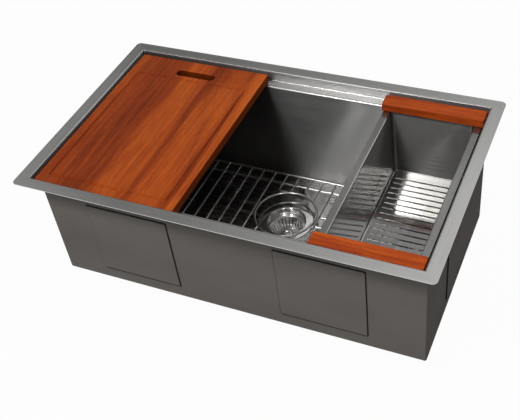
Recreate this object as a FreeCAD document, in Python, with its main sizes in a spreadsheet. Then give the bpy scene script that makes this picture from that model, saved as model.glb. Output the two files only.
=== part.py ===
"""Workstation kitchen sink: an undermount bowl with a ledge front and back, a sliding board,
a lift-out colander, a wire bottom grid and a basket strainer drain.

Millimetres.  The origin is the centre of the rim's top plane: +X right, +Y back, +Z up.
"""
import FreeCAD, Part
import math
import os

import Sketcher

doc = FreeCAD.newDocument("workstation_sink")

# ---------------------------------------------------------------- driving dimensions
SIZES = [
    # rim and bowl
    ("rim_width", 838.0, "rim, left to right"),
    ("rim_depth", 502.0, "rim, front to back"),
    ("rim_corner", 10.0, "outer corner radius of the rim"),
    ("flange_side", 26.8, "rim width at the left and right ends"),
    ("flange_long", 25.7, "rim width along the front and back"),
    ("sheet", 1.5, "sheet steel thickness of the bowl"),
    ("ledge_drop", 22.6, "rim top down to the ledge"),
    ("ledge_width", 22.8, "ledge, from upper wall to bowl wall"),
    ("bowl_depth", 273.0, "rim top down to the bowl's floor"),
    ("wall_corner", 2.0, "upright inner corners of the bowl"),
    ("floor_corner", 2.5, "inner radius between walls and floor"),
    ("rim_bend", 1.2, "inside radius of the fold between rim and upper walls"),
    # sound pads
    ("pad_side", 178.0, "square sound pad"),
    ("pad_thick", 2.5, "sound pad thickness"),
    ("pad_drop", 65.0, "rim top down to a wall pad's upper edge"),
    ("pad_left_inset", 185.2, "left wall pads, centre in from the left wall"),
    ("pad_right_inset", 200.2, "right wall pads, centre in from the right wall"),
    ("pad_end_centre", 15.0, "end wall pads, behind the centre line"),
    ("floor_pad_inset", 177.2, "floor pads, centre in from the end walls"),
    # drain
    ("drain_back", 63.0, "drain axis behind the centre line"),
    ("drain_hole", 44.5, "hole radius in the bowl's floor"),
    ("recess_radius", 61.5, "pressed seat round the drain hole"),
    ("recess_depth", 2.5, "depth of that seat"),
    ("drain_flange", 59.5, "radius of the drain's flange"),
    ("drain_flange_thick", 1.6, "thickness of the drain's flange"),
    ("drain_mouth", 42.3, "inner radius of the cup at its mouth"),
    ("cup_wall", 1.4, "wall of the cup"),
    ("shoulder_drop", 18.5, "flange top down to the basket's shoulder"),
    ("shoulder_radius", 36.5, "inner radius of the shoulder"),
    ("cup_depth", 54.0, "flange top down to the cup's floor"),
    ("cup_floor_radius", 31.0, "inner radius of the cup's floor"),
    ("outlet_bore", 19.0, "inner radius of the outlet"),
    ("outlet_radius", 23.7, "outer radius of the outlet's thread"),
    ("outlet_length", 24.0, "outlet below the cup's floor"),
    ("gasket_thick", 3.0, "rubber gasket under the bowl's floor"),
    ("gasket_width", 13.0, "rubber gasket, ring width"),
    ("washer_thick", 1.0, "fibre friction washer"),
    ("thread_gap", 0.1, "gasket, washer and nut round the cup, radial"),
    ("nut_thick", 8.0, "lock nut height"),
    ("nut_width", 11.0, "lock nut, ring width"),
    ("nut_notch", 8.0, "spanner notch, width"),
    ("nut_notch_deep", 4.5, "spanner notch, depth"),
    ("nut_notch_corner", 1.0, "spanner notch, corner radius"),
    # basket strainer
    ("basket_rim", 39.8, "outer radius of the basket's rim"),
    ("basket_gap", 0.3, "basket over its shoulder, and inside the cup"),
    ("basket_sheet", 1.0, "basket sheet thickness"),
    ("basket_wall_gap", 1.2, "basket wall inside the shoulder"),
    ("basket_depth", 20.0, "basket rim down to its floor"),
    ("basket_floor_radius", 27.0, "outer radius of the basket's floor"),
    ("post_radius", 3.5, "strainer post"),
    ("post_tip", 1.75, "strainer post, radius of its tip in the stopper"),
    ("post_gap", 0.08, "post in the basket's bushing, radial"),
    ("bushing_wall", 2.0, "wall of the bushing in the basket's floor"),
    ("bushing_height", 5.0, "bushing, above the basket's floor"),
    ("stopper_radius", 27.0, "rubber stopper disc"),
    ("stopper_thick", 4.0, "rubber stopper disc"),
    ("stopper_bevel", 1.3, "rubber stopper disc, bevelled edge"),
    ("knob_radius", 8.0, "strainer knob"),
    ("knob_height", 9.0, "strainer knob"),
    ("knob_waist", 4.4, "strainer knob, radius of its waist"),
    ("knob_waist_height", 2.7, "strainer knob, height of its waist"),
    ("knob_flare", 2.2, "strainer knob, height over which it widens"),
    ("knob_crown", 1.8, "strainer knob, height of its rounded top"),
    ("knob_crown_draw", 2.4, "strainer knob, its top drawn in"),
    ("knob_over_rim", -5.5, "knob top over the basket's rim, pushed down"),
    ("slot_in_basket", 2.0, "width of a slot in the basket"),
    ("basket_slot_corner", 0.5, "corner radius of a slot in the basket"),
    ("slot_start", 12.0, "slots in the basket start this far from its axis"),
    # bottom grid
    ("wire_radius", 2.0, "long wires of the grid"),
    ("frame_wire_radius", 2.5, "frame wire and cross wires of the grid"),
    ("wire_pitch", 29.5, "long wires, centre to centre"),
    ("weld_sink", 0.5, "wires melted into each other at a weld"),
    ("grid_height", 22.0, "bowl floor up to the long wires' centre"),
    ("grid_gap", 18.0, "grid frame centre in from the bowl's walls"),
    ("grid_corner", 14.0, "bend radius of the grid frame"),
    ("cross_wire_inset", 26.5, "cross wires in from the grid's frame, along Y"),
    ("ring_radius", 68.0, "wire ring round the drain"),
    ("stub_spread", 15.0, "stub wires either side of the drain axis"),
    ("foot_radius", 8.0, "rubber foot of the grid"),
    ("foot_inset", 44.25, "feet in from the grid's frame, along X"),
    # cutting board
    ("board_width", 305.0, "board, left to right"),
    ("board_thick", 19.0, "board thickness"),
    ("board_left_gap", 6.2, "board to the left wall"),
    ("board_front_gap", 1.3, "board to the front upper wall"),
    ("board_back_gap", 8.3, "board to the back upper wall"),
    ("board_corner", 4.0, "board corner radius"),
    ("board_edge", 1.2, "board edge rounding"),
    ("hand_slot_length", 90.0, "hand slot, left to right"),
    ("hand_slot_width", 19.0, "hand slot, front to back"),
    ("hand_slot_corner", 7.6, "hand slot, corner radius"),
    ("hand_slot_back", 43.0, "hand slot centre in from the board's back"),
    ("groove_side", 23.0, "juice groove centre in from the board's sides"),
    ("groove_front", 23.0, "juice groove centre in from the board's front"),
    ("groove_back", 66.0, "juice groove centre in from the board's back"),
    ("groove_corner", 6.0, "juice groove, bend radius of its centre line"),
    ("groove_width", 6.0, "juice groove width"),
    ("groove_deep", 2.6, "juice groove depth"),
    # colander
    ("colander_width", 199.0, "colander rim, left to right"),
    ("colander_right_gap", 6.7, "colander rim to the right wall"),
    ("colander_front_gap", 1.1, "colander handles to the front upper wall"),
    ("colander_back_gap", 6.5, "colander handles to the back upper wall"),
    ("colander_sheet", 1.0, "colander sheet thickness"),
    ("rim_strip", 14.5, "colander rim strip at its sides"),
    ("rim_under_handle", 2.0, "rim sheet, in from a handle's outer face"),
    ("basket_front_clear", 1.8, "colander wall to the bowl's front wall"),
    ("basket_back_clear", 7.2, "colander wall to the bowl's back wall"),
    ("colander_depth", 149.4, "colander rim down to its floor"),
    ("colander_taper", 9.4, "each wall, drawn in at the floor"),
    ("colander_corner", 8.0, "upright corners of the colander"),
    ("colander_rim_corner", 4.0, "corner radius of the colander's rim"),
    ("colander_floor_edge", 3.0, "radius between colander walls and floor"),
    ("drain_slot_width", 4.0, "colander drain slots, front to back"),
    ("drain_slot_corner", 1.8, "colander drain slots, corner radius"),
    ("drain_slot_length", 134.0, "colander drain slots, left to right"),
    ("drain_slot_pitch", 15.6, "colander drain slots, centre to centre"),
    ("drain_slot_margin", 26.0, "last drain slots in from the floor's ends"),
    ("handle_width", 33.0, "handle, front to back"),
    ("handle_thick", 18.0, "handle, top to bottom"),
    ("handle_over", 3.8, "handle past the colander rim at each side"),
    ("handle_edge", 2.0, "handle edge rounding"),
    ("screw_radius", 1.9, "handle screw shank"),
    ("screw_head", 3.8, "handle screw's countersunk head, radius"),
    ("screw_long", 14.0, "handle screw, head face to tip"),
    ("screw_gap", 0.05, "screw in its hole, radial"),
    ("screw_inset", 38.0, "handle screw in from the rim's side edge"),
    ("screw_from_edge", 8.6, "handle screw in from the rim's end edge"),
]
BASKET_SLOTS = 24
NUT_NOTCHES = 8
STUB_WIRE = 3  # the stub wires reach out to this long wire, counted from the drain

sheet = doc.addObject("Spreadsheet::Sheet", "Sizes")


class Size:
    """A length that knows its value and the expression that binds it to the sheet."""

    def __init__(self, value, text):
        self.value = value
        self.text = text

    def joined(self, other, sign, flip=False):
        if not isinstance(other, Size):
            other = Size(float(other), repr(float(other)))
        left, right = (other, self) if flip else (self, other)
        worked = {"+": lambda a, b: a + b, "-": lambda a, b: a - b,
                  "*": lambda a, b: a * b, "/": lambda a, b: a / b}[sign]
        return Size(worked(left.value, right.value), "(%s %s %s)" % (left.text, sign, right.text))

    def __add__(self, other):
        return self.joined(other, "+")

    def __radd__(self, other):
        return self.joined(other, "+", True)

    def __sub__(self, other):
        return self.joined(other, "-")

    def __rsub__(self, other):
        return self.joined(other, "-", True)

    def __mul__(self, other):
        return self.joined(other, "*")

    def __rmul__(self, other):
        return self.joined(other, "*", True)

    def __truediv__(self, other):
        return self.joined(other, "/")

    def __neg__(self):
        return self.joined(-1.0, "*")


size = {}
for row, (alias, number, note) in enumerate(SIZES, start=1):
    sheet.set("A%d" % row, note)
    sheet.set("B%d" % row, str(number))
    sheet.setAlias("B%d" % row, alias)
    size[alias] = Size(number, "Sizes." + alias)
doc.recompute()


def of(alias):
    return size[alias]


ZERO = Size(0.0, "0.0")

# ---------------------------------------------------------------- places worked out from the sizes
sheet_thick = of("sheet")
inner_x = of("rim_width") / 2 - of("flange_side")
upper_y = of("rim_depth") / 2 - of("flange_long")
inner_y = upper_y - of("ledge_width")
floor_z = -of("bowl_depth")
under_z = floor_z - sheet_thick
ledge_z = -of("ledge_drop")
seat_z = floor_z - of("recess_depth")


# ---------------------------------------------------------------- sketch and feature helpers
def plane(body, role):
    return [item for item in body.Origin.OriginFeatures if item.Role == role][0]


def bind(item, prop, length):
    """Sets a property and binds it to the sheet."""
    item.setExpression(prop, length.text)


def new_body(label):
    body = doc.addObject("PartDesign::Body", label)
    body.Label = label
    return body


def new_sketch(body, name, role="XY_Plane", height=ZERO):
    sketch = body.newObject("Sketcher::SketchObject", name)
    sketch.AttachmentSupport = [(plane(body, role), "")]
    sketch.MapMode = "FlatFace"
    if height is not ZERO:
        bind(sketch, "AttachmentOffset.Base.z", height)
    return sketch


def rounded_rectangle(sketch, width, depth, radius, centre_x=ZERO, centre_y=ZERO):
    """A rectangle with four rounded corners, its sizes and place bound to the sheet."""
    half_w, half_d, r = width.value / 2, depth.value / 2, radius.value
    cx, cy = centre_x.value, centre_y.value
    corners = [(1, 1, 0), (-1, 1, 90), (-1, -1, 180), (1, -1, 270)]
    arcs = []
    for sx, sy, start in corners:
        middle = FreeCAD.Vector(cx + sx * (half_w - r), cy + sy * (half_d - r), 0)
        circle = Part.Circle(middle, FreeCAD.Vector(0, 0, 1), r)
        arc = Part.ArcOfCircle(circle, math.radians(start), math.radians(start + 90))
        arcs.append(sketch.addGeometry(arc, False))
    lines = []
    for index in range(4):
        first, second = arcs[index], arcs[(index + 1) % 4]
        begin = sketch.getPoint(first, 2)
        end = sketch.getPoint(second, 1)
        lines.append(sketch.addGeometry(Part.LineSegment(begin, end), False))
    rules = []
    for index in range(4):
        rules.append(Sketcher.Constraint("Tangent", arcs[index], 2, lines[index], 1))
        rules.append(Sketcher.Constraint("Tangent", lines[index], 2, arcs[(index + 1) % 4], 1))
    rules.append(Sketcher.Constraint("Horizontal", lines[0]))
    rules.append(Sketcher.Constraint("Vertical", lines[1]))
    rules.append(Sketcher.Constraint("Horizontal", lines[2]))
    rules.append(Sketcher.Constraint("Vertical", lines[3]))
    for index in range(1, 4):
        rules.append(Sketcher.Constraint("Equal", arcs[0], arcs[index]))
    sketch.addConstraint(rules)
    named_length(sketch, Sketcher.Constraint("Radius", arcs[0], r), "corner", radius)
    # the four sides are dimensioned from the sketch's origin
    place_line(sketch, lines[0], "Y", centre_y + depth / 2, "far_y")
    place_line(sketch, lines[2], "Y", centre_y - depth / 2, "near_y")
    place_line(sketch, lines[1], "X", centre_x - width / 2, "low_x")
    place_line(sketch, lines[3], "X", centre_x + width / 2, "high_x")


def named_length(sketch, constraint, name, length):
    index = sketch.addConstraint(constraint)
    sketch.renameConstraint(index, name)
    bind(sketch, "Constraints." + name, length)


def place_line(sketch, line, axis, where, name):
    """A signed distance from the sketch's origin to a line's first point."""
    constraint = Sketcher.Constraint("Distance" + axis, -1, 1, line, 1, where.value)
    named_length(sketch, constraint, name, where)


def circle_sketch(sketch, radius, centre_x=ZERO, centre_y=ZERO, name="round"):
    middle = FreeCAD.Vector(centre_x.value, centre_y.value, 0)
    ring = sketch.addGeometry(Part.Circle(middle, FreeCAD.Vector(0, 0, 1), radius.value), False)
    named_length(sketch, Sketcher.Constraint("Radius", ring, radius.value), name + "_radius", radius)
    for axis, where in (("X", centre_x), ("Y", centre_y)):
        constraint = Sketcher.Constraint("Distance" + axis, -1, 1, ring, 3, where.value)
        if abs(where.value) < 1e-9:
            continue
        named_length(sketch, constraint, name + "_" + axis.lower(), where)
    on_x = abs(centre_x.value) < 1e-9
    on_y = abs(centre_y.value) < 1e-9
    if on_x and on_y:
        sketch.addConstraint(Sketcher.Constraint("Coincident", ring, 3, -1, 1))
    elif on_x:
        sketch.addConstraint(Sketcher.Constraint("PointOnObject", ring, 3, -2))
    elif on_y:
        sketch.addConstraint(Sketcher.Constraint("PointOnObject", ring, 3, -1))
    return ring


def profile_sketch(sketch, points):
    """A closed outline of straight lines through points given as two sizes each."""
    flat = [FreeCAD.Vector(x.value, y.value, 0) for x, y in points]
    count = len(points)
    lines = []
    for index in range(count):
        segment = Part.LineSegment(flat[index], flat[(index + 1) % count])
        lines.append(sketch.addGeometry(segment, False))
    for index in range(count):
        rule = Sketcher.Constraint("Coincident", lines[index], 2, lines[(index + 1) % count], 1)
        sketch.addConstraint(rule)
    for index, (x, y) in enumerate(points):
        if abs(x.value) < 1e-9:
            sketch.addConstraint(Sketcher.Constraint("PointOnObject", lines[index], 1, -2))
        else:
            rule = Sketcher.Constraint("DistanceX", -1, 1, lines[index], 1, x.value)
            named_length(sketch, rule, "x%d" % index, x)
        if abs(y.value) < 1e-9:
            sketch.addConstraint(Sketcher.Constraint("PointOnObject", lines[index], 1, -1))
        else:
            rule = Sketcher.Constraint("DistanceY", -1, 1, lines[index], 1, y.value)
            named_length(sketch, rule, "y%d" % index, y)


def pad(body, sketch, name, length, downwards=False):
    feature = body.newObject("PartDesign::Pad", name)
    feature.Profile = sketch
    feature.Reversed = downwards
    bind(feature, "Length", length)
    return feature


def pocket(body, sketch, name, depth, upwards=False):
    """Cuts downwards from the sketch, or upwards, and checks that something was cut."""
    doc.recompute()
    before = body.Shape.Volume
    feature = body.newObject("PartDesign::Pocket", name)
    feature.Profile = sketch
    feature.Reversed = upwards
    bind(feature, "Length", depth)
    doc.recompute()
    if body.Shape.Volume >= before - 1e-6:
        raise RuntimeError(name + " cuts nothing")
    return feature


def revolved(body, sketch, name):
    """Turns an X-Z profile once round the body's Z axis."""
    feature = body.newObject("PartDesign::Revolution", name)
    feature.Profile = sketch
    feature.ReferenceAxis = (plane(body, "Z_Axis"), [""])
    feature.Angle = 360.0
    return feature


def polar(body, feature, name, count):
    """Repeats a feature round the body's Z axis."""
    pattern = body.newObject("PartDesign::PolarPattern", name)
    pattern.Originals = [feature]
    pattern.Axis = (plane(body, "Z_Axis"), [""])
    pattern.Angle = 360.0
    pattern.Occurrences = count
    body.Tip = pattern
    doc.recompute()
    return pattern


def edges_where(shape, test):
    return ["Edge%d" % (i + 1) for i, edge in enumerate(shape.Edges) if test(edge)]


def fillet(body, base, name, radius, test):
    doc.recompute()
    feature = body.newObject("PartDesign::Fillet", name)
    names = edges_where(base.Shape, test)
    if not names:
        raise RuntimeError(name + " finds no edge")
    feature.Base = (base, names)
    bind(feature, "Radius", radius)
    doc.recompute()
    return feature


def edge_at_height(height):
    """Tests for edges that lie flat at one height."""
    def test(edge):
        box = edge.BoundBox
        return abs(box.ZMin - height.value) < 1e-4 and abs(box.ZMax - height.value) < 1e-4
    return test


def move_body(body, x=ZERO, y=ZERO, z=ZERO):
    for axis, where in (("x", x), ("y", y), ("z", z)):
        if where is not ZERO:
            bind(body, "Placement.Base." + axis, where)


finished = []


def finish(item, node):
    item.Label = node
    finished.append(item)
    return item


# ---------------------------------------------------------------- bowl
def build_bowl():
    """One welded and pressed sheet: rim, upper walls, ledges, walls, floor and drain seat."""
    body = new_body("bowl")
    outline = new_sketch(body, "wall_outline")
    corner_out = of("wall_corner") + sheet_thick
    rounded_rectangle(outline, (inner_x + sheet_thick) * 2, (inner_y + sheet_thick) * 2, corner_out)
    pad(body, outline, "wall_block", -under_z, downwards=True)

    ledge = new_sketch(body, "ledge_outline")
    rounded_rectangle(ledge, (inner_x + sheet_thick) * 2, (upper_y + sheet_thick) * 2, corner_out)
    pad(body, ledge, "ledge_block", of("ledge_drop") + sheet_thick, downwards=True)

    rim = new_sketch(body, "rim_outline")
    rounded_rectangle(rim, of("rim_width"), of("rim_depth"), of("rim_corner"))
    pad(body, rim, "rim_plate", sheet_thick, downwards=True)

    seat = new_sketch(body, "seat_outline", height=under_z)
    circle_sketch(seat, of("recess_radius") + sheet_thick, ZERO, of("drain_back"))
    pad(body, seat, "seat_block", of("recess_depth"), downwards=True)

    upper = new_sketch(body, "upper_hollow_outline")
    rounded_rectangle(upper, inner_x * 2, upper_y * 2, of("wall_corner"))
    pocket(body, upper, "upper_hollow", of("ledge_drop"))

    lower = new_sketch(body, "bowl_hollow_outline")
    rounded_rectangle(lower, inner_x * 2, inner_y * 2, of("wall_corner"))
    hollow = pocket(body, lower, "bowl_hollow", of("bowl_depth"))

    def outer_floor_edge(edge):
        box = edge.BoundBox
        at_wall = max(abs(box.XMin), abs(box.XMax)) > inner_x.value or \
            max(abs(box.YMin), abs(box.YMax)) > inner_y.value
        return at_wall and edge_at_height(under_z)(edge)

    def rim_inner_edge(edge):
        box = edge.BoundBox
        within = max(abs(box.YMin), abs(box.YMax)) < upper_y.value + 1e-3 and \
            max(abs(box.XMin), abs(box.XMax)) < inner_x.value + 1e-3
        return within and edge_at_height(ZERO)(edge)

    inside = fillet(body, hollow, "inner_floor_bend", of("floor_corner"), edge_at_height(floor_z))
    outside = fillet(body, inside, "outer_floor_bend", of("floor_corner") + sheet_thick,
                     outer_floor_edge)
    fillet(body, outside, "rim_fold", of("rim_bend") + sheet_thick, rim_inner_edge)

    dish = new_sketch(body, "seat_hollow_outline", height=floor_z)
    circle_sketch(dish, of("recess_radius"), ZERO, of("drain_back"))
    pocket(body, dish, "seat_hollow", of("recess_depth"))
    hole = new_sketch(body, "drain_hole_outline", height=floor_z)
    circle_sketch(hole, of("drain_hole"), ZERO, of("drain_back"))
    pocket(body, hole, "drain_hole", of("recess_depth") + sheet_thick * 2)
    finish(body, "bowl")


# ---------------------------------------------------------------- sound pads
def build_pads():
    """Rubber pads glued to the outside of the walls and floor."""
    side, thick = of("pad_side"), of("pad_thick")
    low_z = -of("pad_drop") - side
    front_y = -inner_y - sheet_thick - thick
    back_y = inner_y + sheet_thick
    left_x = -inner_x + of("pad_left_inset") - side / 2
    right_x = inner_x - of("pad_right_inset") - side / 2
    wall_pads = {
        "pad_front_left": (left_x, front_y),
        "pad_front_right": (right_x, front_y),
        "pad_back_left": (left_x, back_y),
        "pad_back_right": (right_x, back_y),
    }
    for node, (x, y) in wall_pads.items():
        box_part(node, (x, y, low_z), (side, thick, side))
    end_y = of("pad_end_centre") - side / 2
    box_part("pad_end_left", (-inner_x - sheet_thick - thick, end_y, low_z), (thick, side, side))
    box_part("pad_end_right", (inner_x + sheet_thick, end_y, low_z), (thick, side, side))
    for node, sign in (("pad_floor_left", -1), ("pad_floor_right", 1)):
        x = (inner_x - of("floor_pad_inset")) * sign - side / 2
        box_part(node, (x, -side / 2, under_z - thick), (side, side, thick))


def box_part(node, corner, lengths):
    box = doc.addObject("Part::Box", node)
    for prop, length in zip(("Length", "Width", "Height"), lengths):
        bind(box, prop, length)
    move_body(box, *corner)
    finish(box, node)


# ---------------------------------------------------------------- drain
def turned_body(node, points, height=ZERO):
    """A body turned round the drain axis from an X-Z outline."""
    body = new_body(node)
    sketch = new_sketch(body, node + "_profile", "XZ_Plane")
    profile_sketch(sketch, points)
    revolved(body, sketch, node + "_turned")
    move_body(body, ZERO, of("drain_back"), height)
    doc.recompute()
    return body


def build_drain():
    """Flanged cup through the bowl's floor, held from below by a gasket, a washer and a nut."""
    wall = of("cup_wall")
    top = of("drain_flange_thick")
    neck_in = of("drain_mouth")
    neck_out = neck_in + wall
    shoulder_z = top - of("shoulder_drop")
    cup_z = top - of("cup_depth")
    outlet_z = cup_z - of("outlet_length")
    lip = wall / 2
    body = turned_body("drain_body", [
        (neck_in + lip, top),
        (of("drain_flange") - lip, top),
        (of("drain_flange"), top / 2),
        (of("drain_flange"), ZERO),
        (neck_out, ZERO),
        (neck_out, shoulder_z - wall),
        (of("shoulder_radius") + wall, shoulder_z - wall * 2),
        (of("cup_floor_radius") + wall, cup_z - wall),
        (of("outlet_radius"), cup_z - wall),
        (of("outlet_radius"), outlet_z),
        (of("outlet_bore"), outlet_z),
        (of("outlet_bore"), cup_z),
        (of("cup_floor_radius"), cup_z),
        (of("shoulder_radius"), shoulder_z - wall),
        (of("shoulder_radius"), shoulder_z),
        (neck_in - lip, shoulder_z),
        (neck_in - lip, top - lip * 2),
    ], seat_z)
    finish(body, "drain_body")

    under_seat = -sheet_thick
    hole = neck_out + of("thread_gap")
    gasket_low = under_seat - of("gasket_thick")
    washer_low = gasket_low - of("washer_thick")
    nut_low = washer_low - of("nut_thick")
    finish(ring_body("drain_gasket", hole, hole + of("gasket_width"), gasket_low, under_seat), "drain_gasket")
    finish(ring_body("drain_washer", hole, hole + of("nut_width"), washer_low, gasket_low), "drain_washer")
    nut = ring_body("drain_locknut", hole, hole + of("nut_width"), nut_low, washer_low)
    notch = new_sketch(nut, "notch_outline", height=washer_low)
    reach = hole + of("nut_width")
    rounded_rectangle(notch, of("nut_notch_deep") * 2, of("nut_notch"), of("nut_notch_corner"), reach, ZERO)
    cut = pocket(nut, notch, "notch", of("nut_thick"))
    polar(nut, cut, "notches", NUT_NOTCHES)
    finish(nut, "drain_locknut")


def ring_body(node, inner, outer, low, high):
    """A flat ring about the drain axis, with heights measured from the drain seat."""
    points = [(inner, low), (outer, low), (outer, high), (inner, high)]
    return turned_body(node, points, seat_z)


# ---------------------------------------------------------------- basket strainer
def build_strainer():
    """Slotted basket, with a post, a knob and a rubber stopper that slide in its bushing."""
    gap = of("basket_gap")
    skin = of("basket_sheet")
    shoulder_z = of("drain_flange_thick") - of("shoulder_drop")
    rim_low = shoulder_z + gap
    rim_top = rim_low + skin
    wall_out = of("shoulder_radius") - of("basket_wall_gap")
    floor_top = rim_top - of("basket_depth")
    floor_low = floor_top - skin
    bush_in = of("post_radius") + of("post_gap")
    bush_out = bush_in + of("bushing_wall")
    basket = turned_body("strainer_basket", [
        (wall_out, rim_low),
        (of("basket_rim"), rim_low),
        (of("basket_rim"), rim_top),
        (wall_out - skin, rim_top),
        (of("basket_floor_radius") - skin, floor_top),
        (bush_out, floor_top),
        (bush_out, floor_top + of("bushing_height")),
        (bush_in, floor_top + of("bushing_height")),
        (bush_in, floor_low),
        (of("basket_floor_radius"), floor_low),
    ], seat_z)
    slot = new_sketch(basket, "slot_outline", height=floor_top + of("bushing_height"))
    slot_in = of("slot_start")
    slot_out = of("basket_floor_radius") + skin
    middle = (slot_in + slot_out) / 2
    rounded_rectangle(slot, slot_out - slot_in, of("slot_in_basket"), of("basket_slot_corner"), middle, ZERO)
    cut = pocket(basket, slot, "slot", of("bushing_height") + skin * 2)
    polar(basket, cut, "slots", BASKET_SLOTS)
    finish(basket, "strainer_basket")

    cup_floor = of("drain_flange_thick") - of("cup_depth")
    disc_low = cup_floor + gap
    disc_top = disc_low + of("stopper_thick")
    knob_top = rim_top + of("knob_over_rim")
    knob_low = knob_top - of("knob_height")
    post = turned_body("strainer_post", [
        (ZERO, disc_low),
        (of("post_tip"), disc_low),
        (of("post_tip"), disc_top),
        (of("post_radius"), disc_top),
        (of("post_radius"), knob_low),
        (ZERO, knob_low),
    ], seat_z)
    finish(post, "strainer_post")
    bevel = of("stopper_bevel")
    disc = turned_body("strainer_stopper", [
        (of("post_tip"), disc_low),
        (of("stopper_radius") - bevel, disc_low),
        (of("stopper_radius"), disc_low + bevel),
        (of("stopper_radius"), disc_top - bevel),
        (of("stopper_radius") - bevel, disc_top),
        (of("post_tip"), disc_top),
    ], seat_z)
    finish(disc, "strainer_stopper")
    waist_top = knob_low + of("knob_waist_height")
    knob = turned_body("strainer_knob", [
        (ZERO, knob_low),
        (of("knob_waist"), knob_low),
        (of("knob_waist"), waist_top),
        (of("knob_radius"), waist_top + of("knob_flare")),
        (of("knob_radius"), knob_top - of("knob_crown")),
        (of("knob_radius") - of("knob_crown_draw"), knob_top),
        (ZERO, knob_top),
    ], seat_z)
    finish(knob, "strainer_knob")


# ---------------------------------------------------------------- bottom grid
def rod(name, start, end, radius):
    """A round wire along X or Y between two points given as sizes."""
    wire = doc.addObject("Part::Cylinder", name)
    bind(wire, "Radius", radius)
    along_x = start[1].text == end[1].text
    run = (end[0] - start[0]) if along_x else (end[1] - start[1])
    bind(wire, "Height", run)
    axis = FreeCAD.Vector(0, 1, 0) if along_x else FreeCAD.Vector(-1, 0, 0)
    wire.Placement = FreeCAD.Placement(FreeCAD.Vector(0, 0, 0), FreeCAD.Rotation(axis, 90))
    move_body(wire, *start)
    return wire


def rods_node(node, rods):
    group = doc.addObject("Part::Compound", node)
    group.Links = rods
    finish(group, node)


def build_grid():
    """Long wires on a bent frame wire, with cross wires, a ring round the drain and rubber feet."""
    thin, thick = of("wire_radius"), of("frame_wire_radius")
    wire_z = floor_z + of("grid_height")
    frame_x = inner_x - of("grid_gap")
    frame_y = inner_y - of("grid_gap")
    drain_y = of("drain_back")
    ring = of("ring_radius")
    cross_y = frame_y - of("cross_wire_inset")
    cross_z = wire_z - thin - thick + of("weld_sink")

    # the frame wire: a bent loop at the height of the long wires
    body = new_body("grid_frame")
    path = new_sketch(body, "frame_path")
    rounded_rectangle(path, frame_x * 2, frame_y * 2, of("grid_corner"))
    section = new_sketch(body, "frame_section", "XZ_Plane")
    circle_sketch(section, thick, frame_x, ZERO, "wire")
    bend = body.newObject("PartDesign::AdditivePipe", "frame_wire")
    bend.Profile = section
    bend.Spine = (path, [])
    bend.Transition = "Transformed"
    move_body(body, ZERO, ZERO, wire_z)
    doc.recompute()
    finish(body, "grid_frame")

    # the long wires, in steps of the pitch out from the middle
    reach = frame_y - thick + of("weld_sink")
    groups = {"grid_wires_left": [], "grid_wires_right": [], "grid_wires_front": [], "grid_wires_back": []}
    steps = int((frame_x.value - thick.value) / of("wire_pitch").value + 0.5)
    for sign, side in ((-1, "left"), (1, "right")):
        for step in range(steps):
            x = of("wire_pitch") * (sign * (step + 0.5))
            offset = abs(x.value)
            if offset > ring.value + thick.value:
                wire = rod("wire_%s_%d" % (side, step), (x, -reach, wire_z), (x, reach, wire_z), thin)
                groups["grid_wires_" + side].append(wire)
                continue
            chord = math.sqrt(ring.value ** 2 - offset ** 2)
            share = Size(chord / ring.value, repr(chord / ring.value))
            front_end = drain_y - ring * share - thick + of("weld_sink")
            back_start = drain_y + ring * share + thick - of("weld_sink")
            wire = rod("wire_front_%s_%d" % (side, step), (x, -reach, wire_z), (x, front_end, wire_z), thin)
            groups["grid_wires_front"].append(wire)
            wire = rod("wire_back_%s_%d" % (side, step), (x, back_start, wire_z), (x, reach, wire_z), thin)
            groups["grid_wires_back"].append(wire)
    for node, rods in groups.items():
        rods_node(node, rods)

    # cross wires under the long wires, and stubs that carry the ring
    cross_reach = frame_x - thick / 2
    for node, y in (("grid_cross_front", -cross_y), ("grid_cross_back", cross_y)):
        wire = rod(node, (-cross_reach, y, cross_z), (cross_reach, y, cross_z), thick)
        finish(wire, node)
    stub_end = of("wire_pitch") * (STUB_WIRE + 0.5) + thin
    for sign, side in ((-1, "left"), (1, "right")):
        stubs = []
        for place in (-1, 1):
            y = drain_y + of("stub_spread") * place
            low_x = -stub_end if sign < 0 else ring - thick
            high_x = -ring + thick if sign < 0 else stub_end
            stubs.append(rod("stub_%s_%d" % (side, place + 1), (low_x, y, cross_z), (high_x, y, cross_z), thick))
        rods_node("grid_stubs_" + side, stubs)

    loop = doc.addObject("Part::Torus", "grid_ring")
    bind(loop, "Radius1", ring)
    bind(loop, "Radius2", thick)
    move_body(loop, ZERO, drain_y, wire_z)
    finish(loop, "grid_ring")

    # rubber feet, pressed on the cross wires
    for row, y in (("front", -cross_y), ("back", cross_y)):
        for column, sign in (("left", -1), ("middle", 0), ("right", 1)):
            node = "grid_foot_%s_%s" % (row, column)
            x = (frame_x - of("foot_inset")) * sign if sign else ZERO
            foot = new_body(node)
            round_sketch = new_sketch(foot, node + "_outline")
            circle_sketch(round_sketch, of("foot_radius"))
            pad(foot, round_sketch, node + "_post", cross_z - floor_z)
            hole = new_sketch(foot, node + "_groove", "YZ_Plane", -of("foot_radius"))
            circle_sketch(hole, thick, ZERO, cross_z - floor_z, "wire")
            pocket(foot, hole, node + "_wire_seat", of("foot_radius") * 2, upwards=True)
            move_body(foot, x, y, floor_z)
            finish(foot, node)


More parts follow.
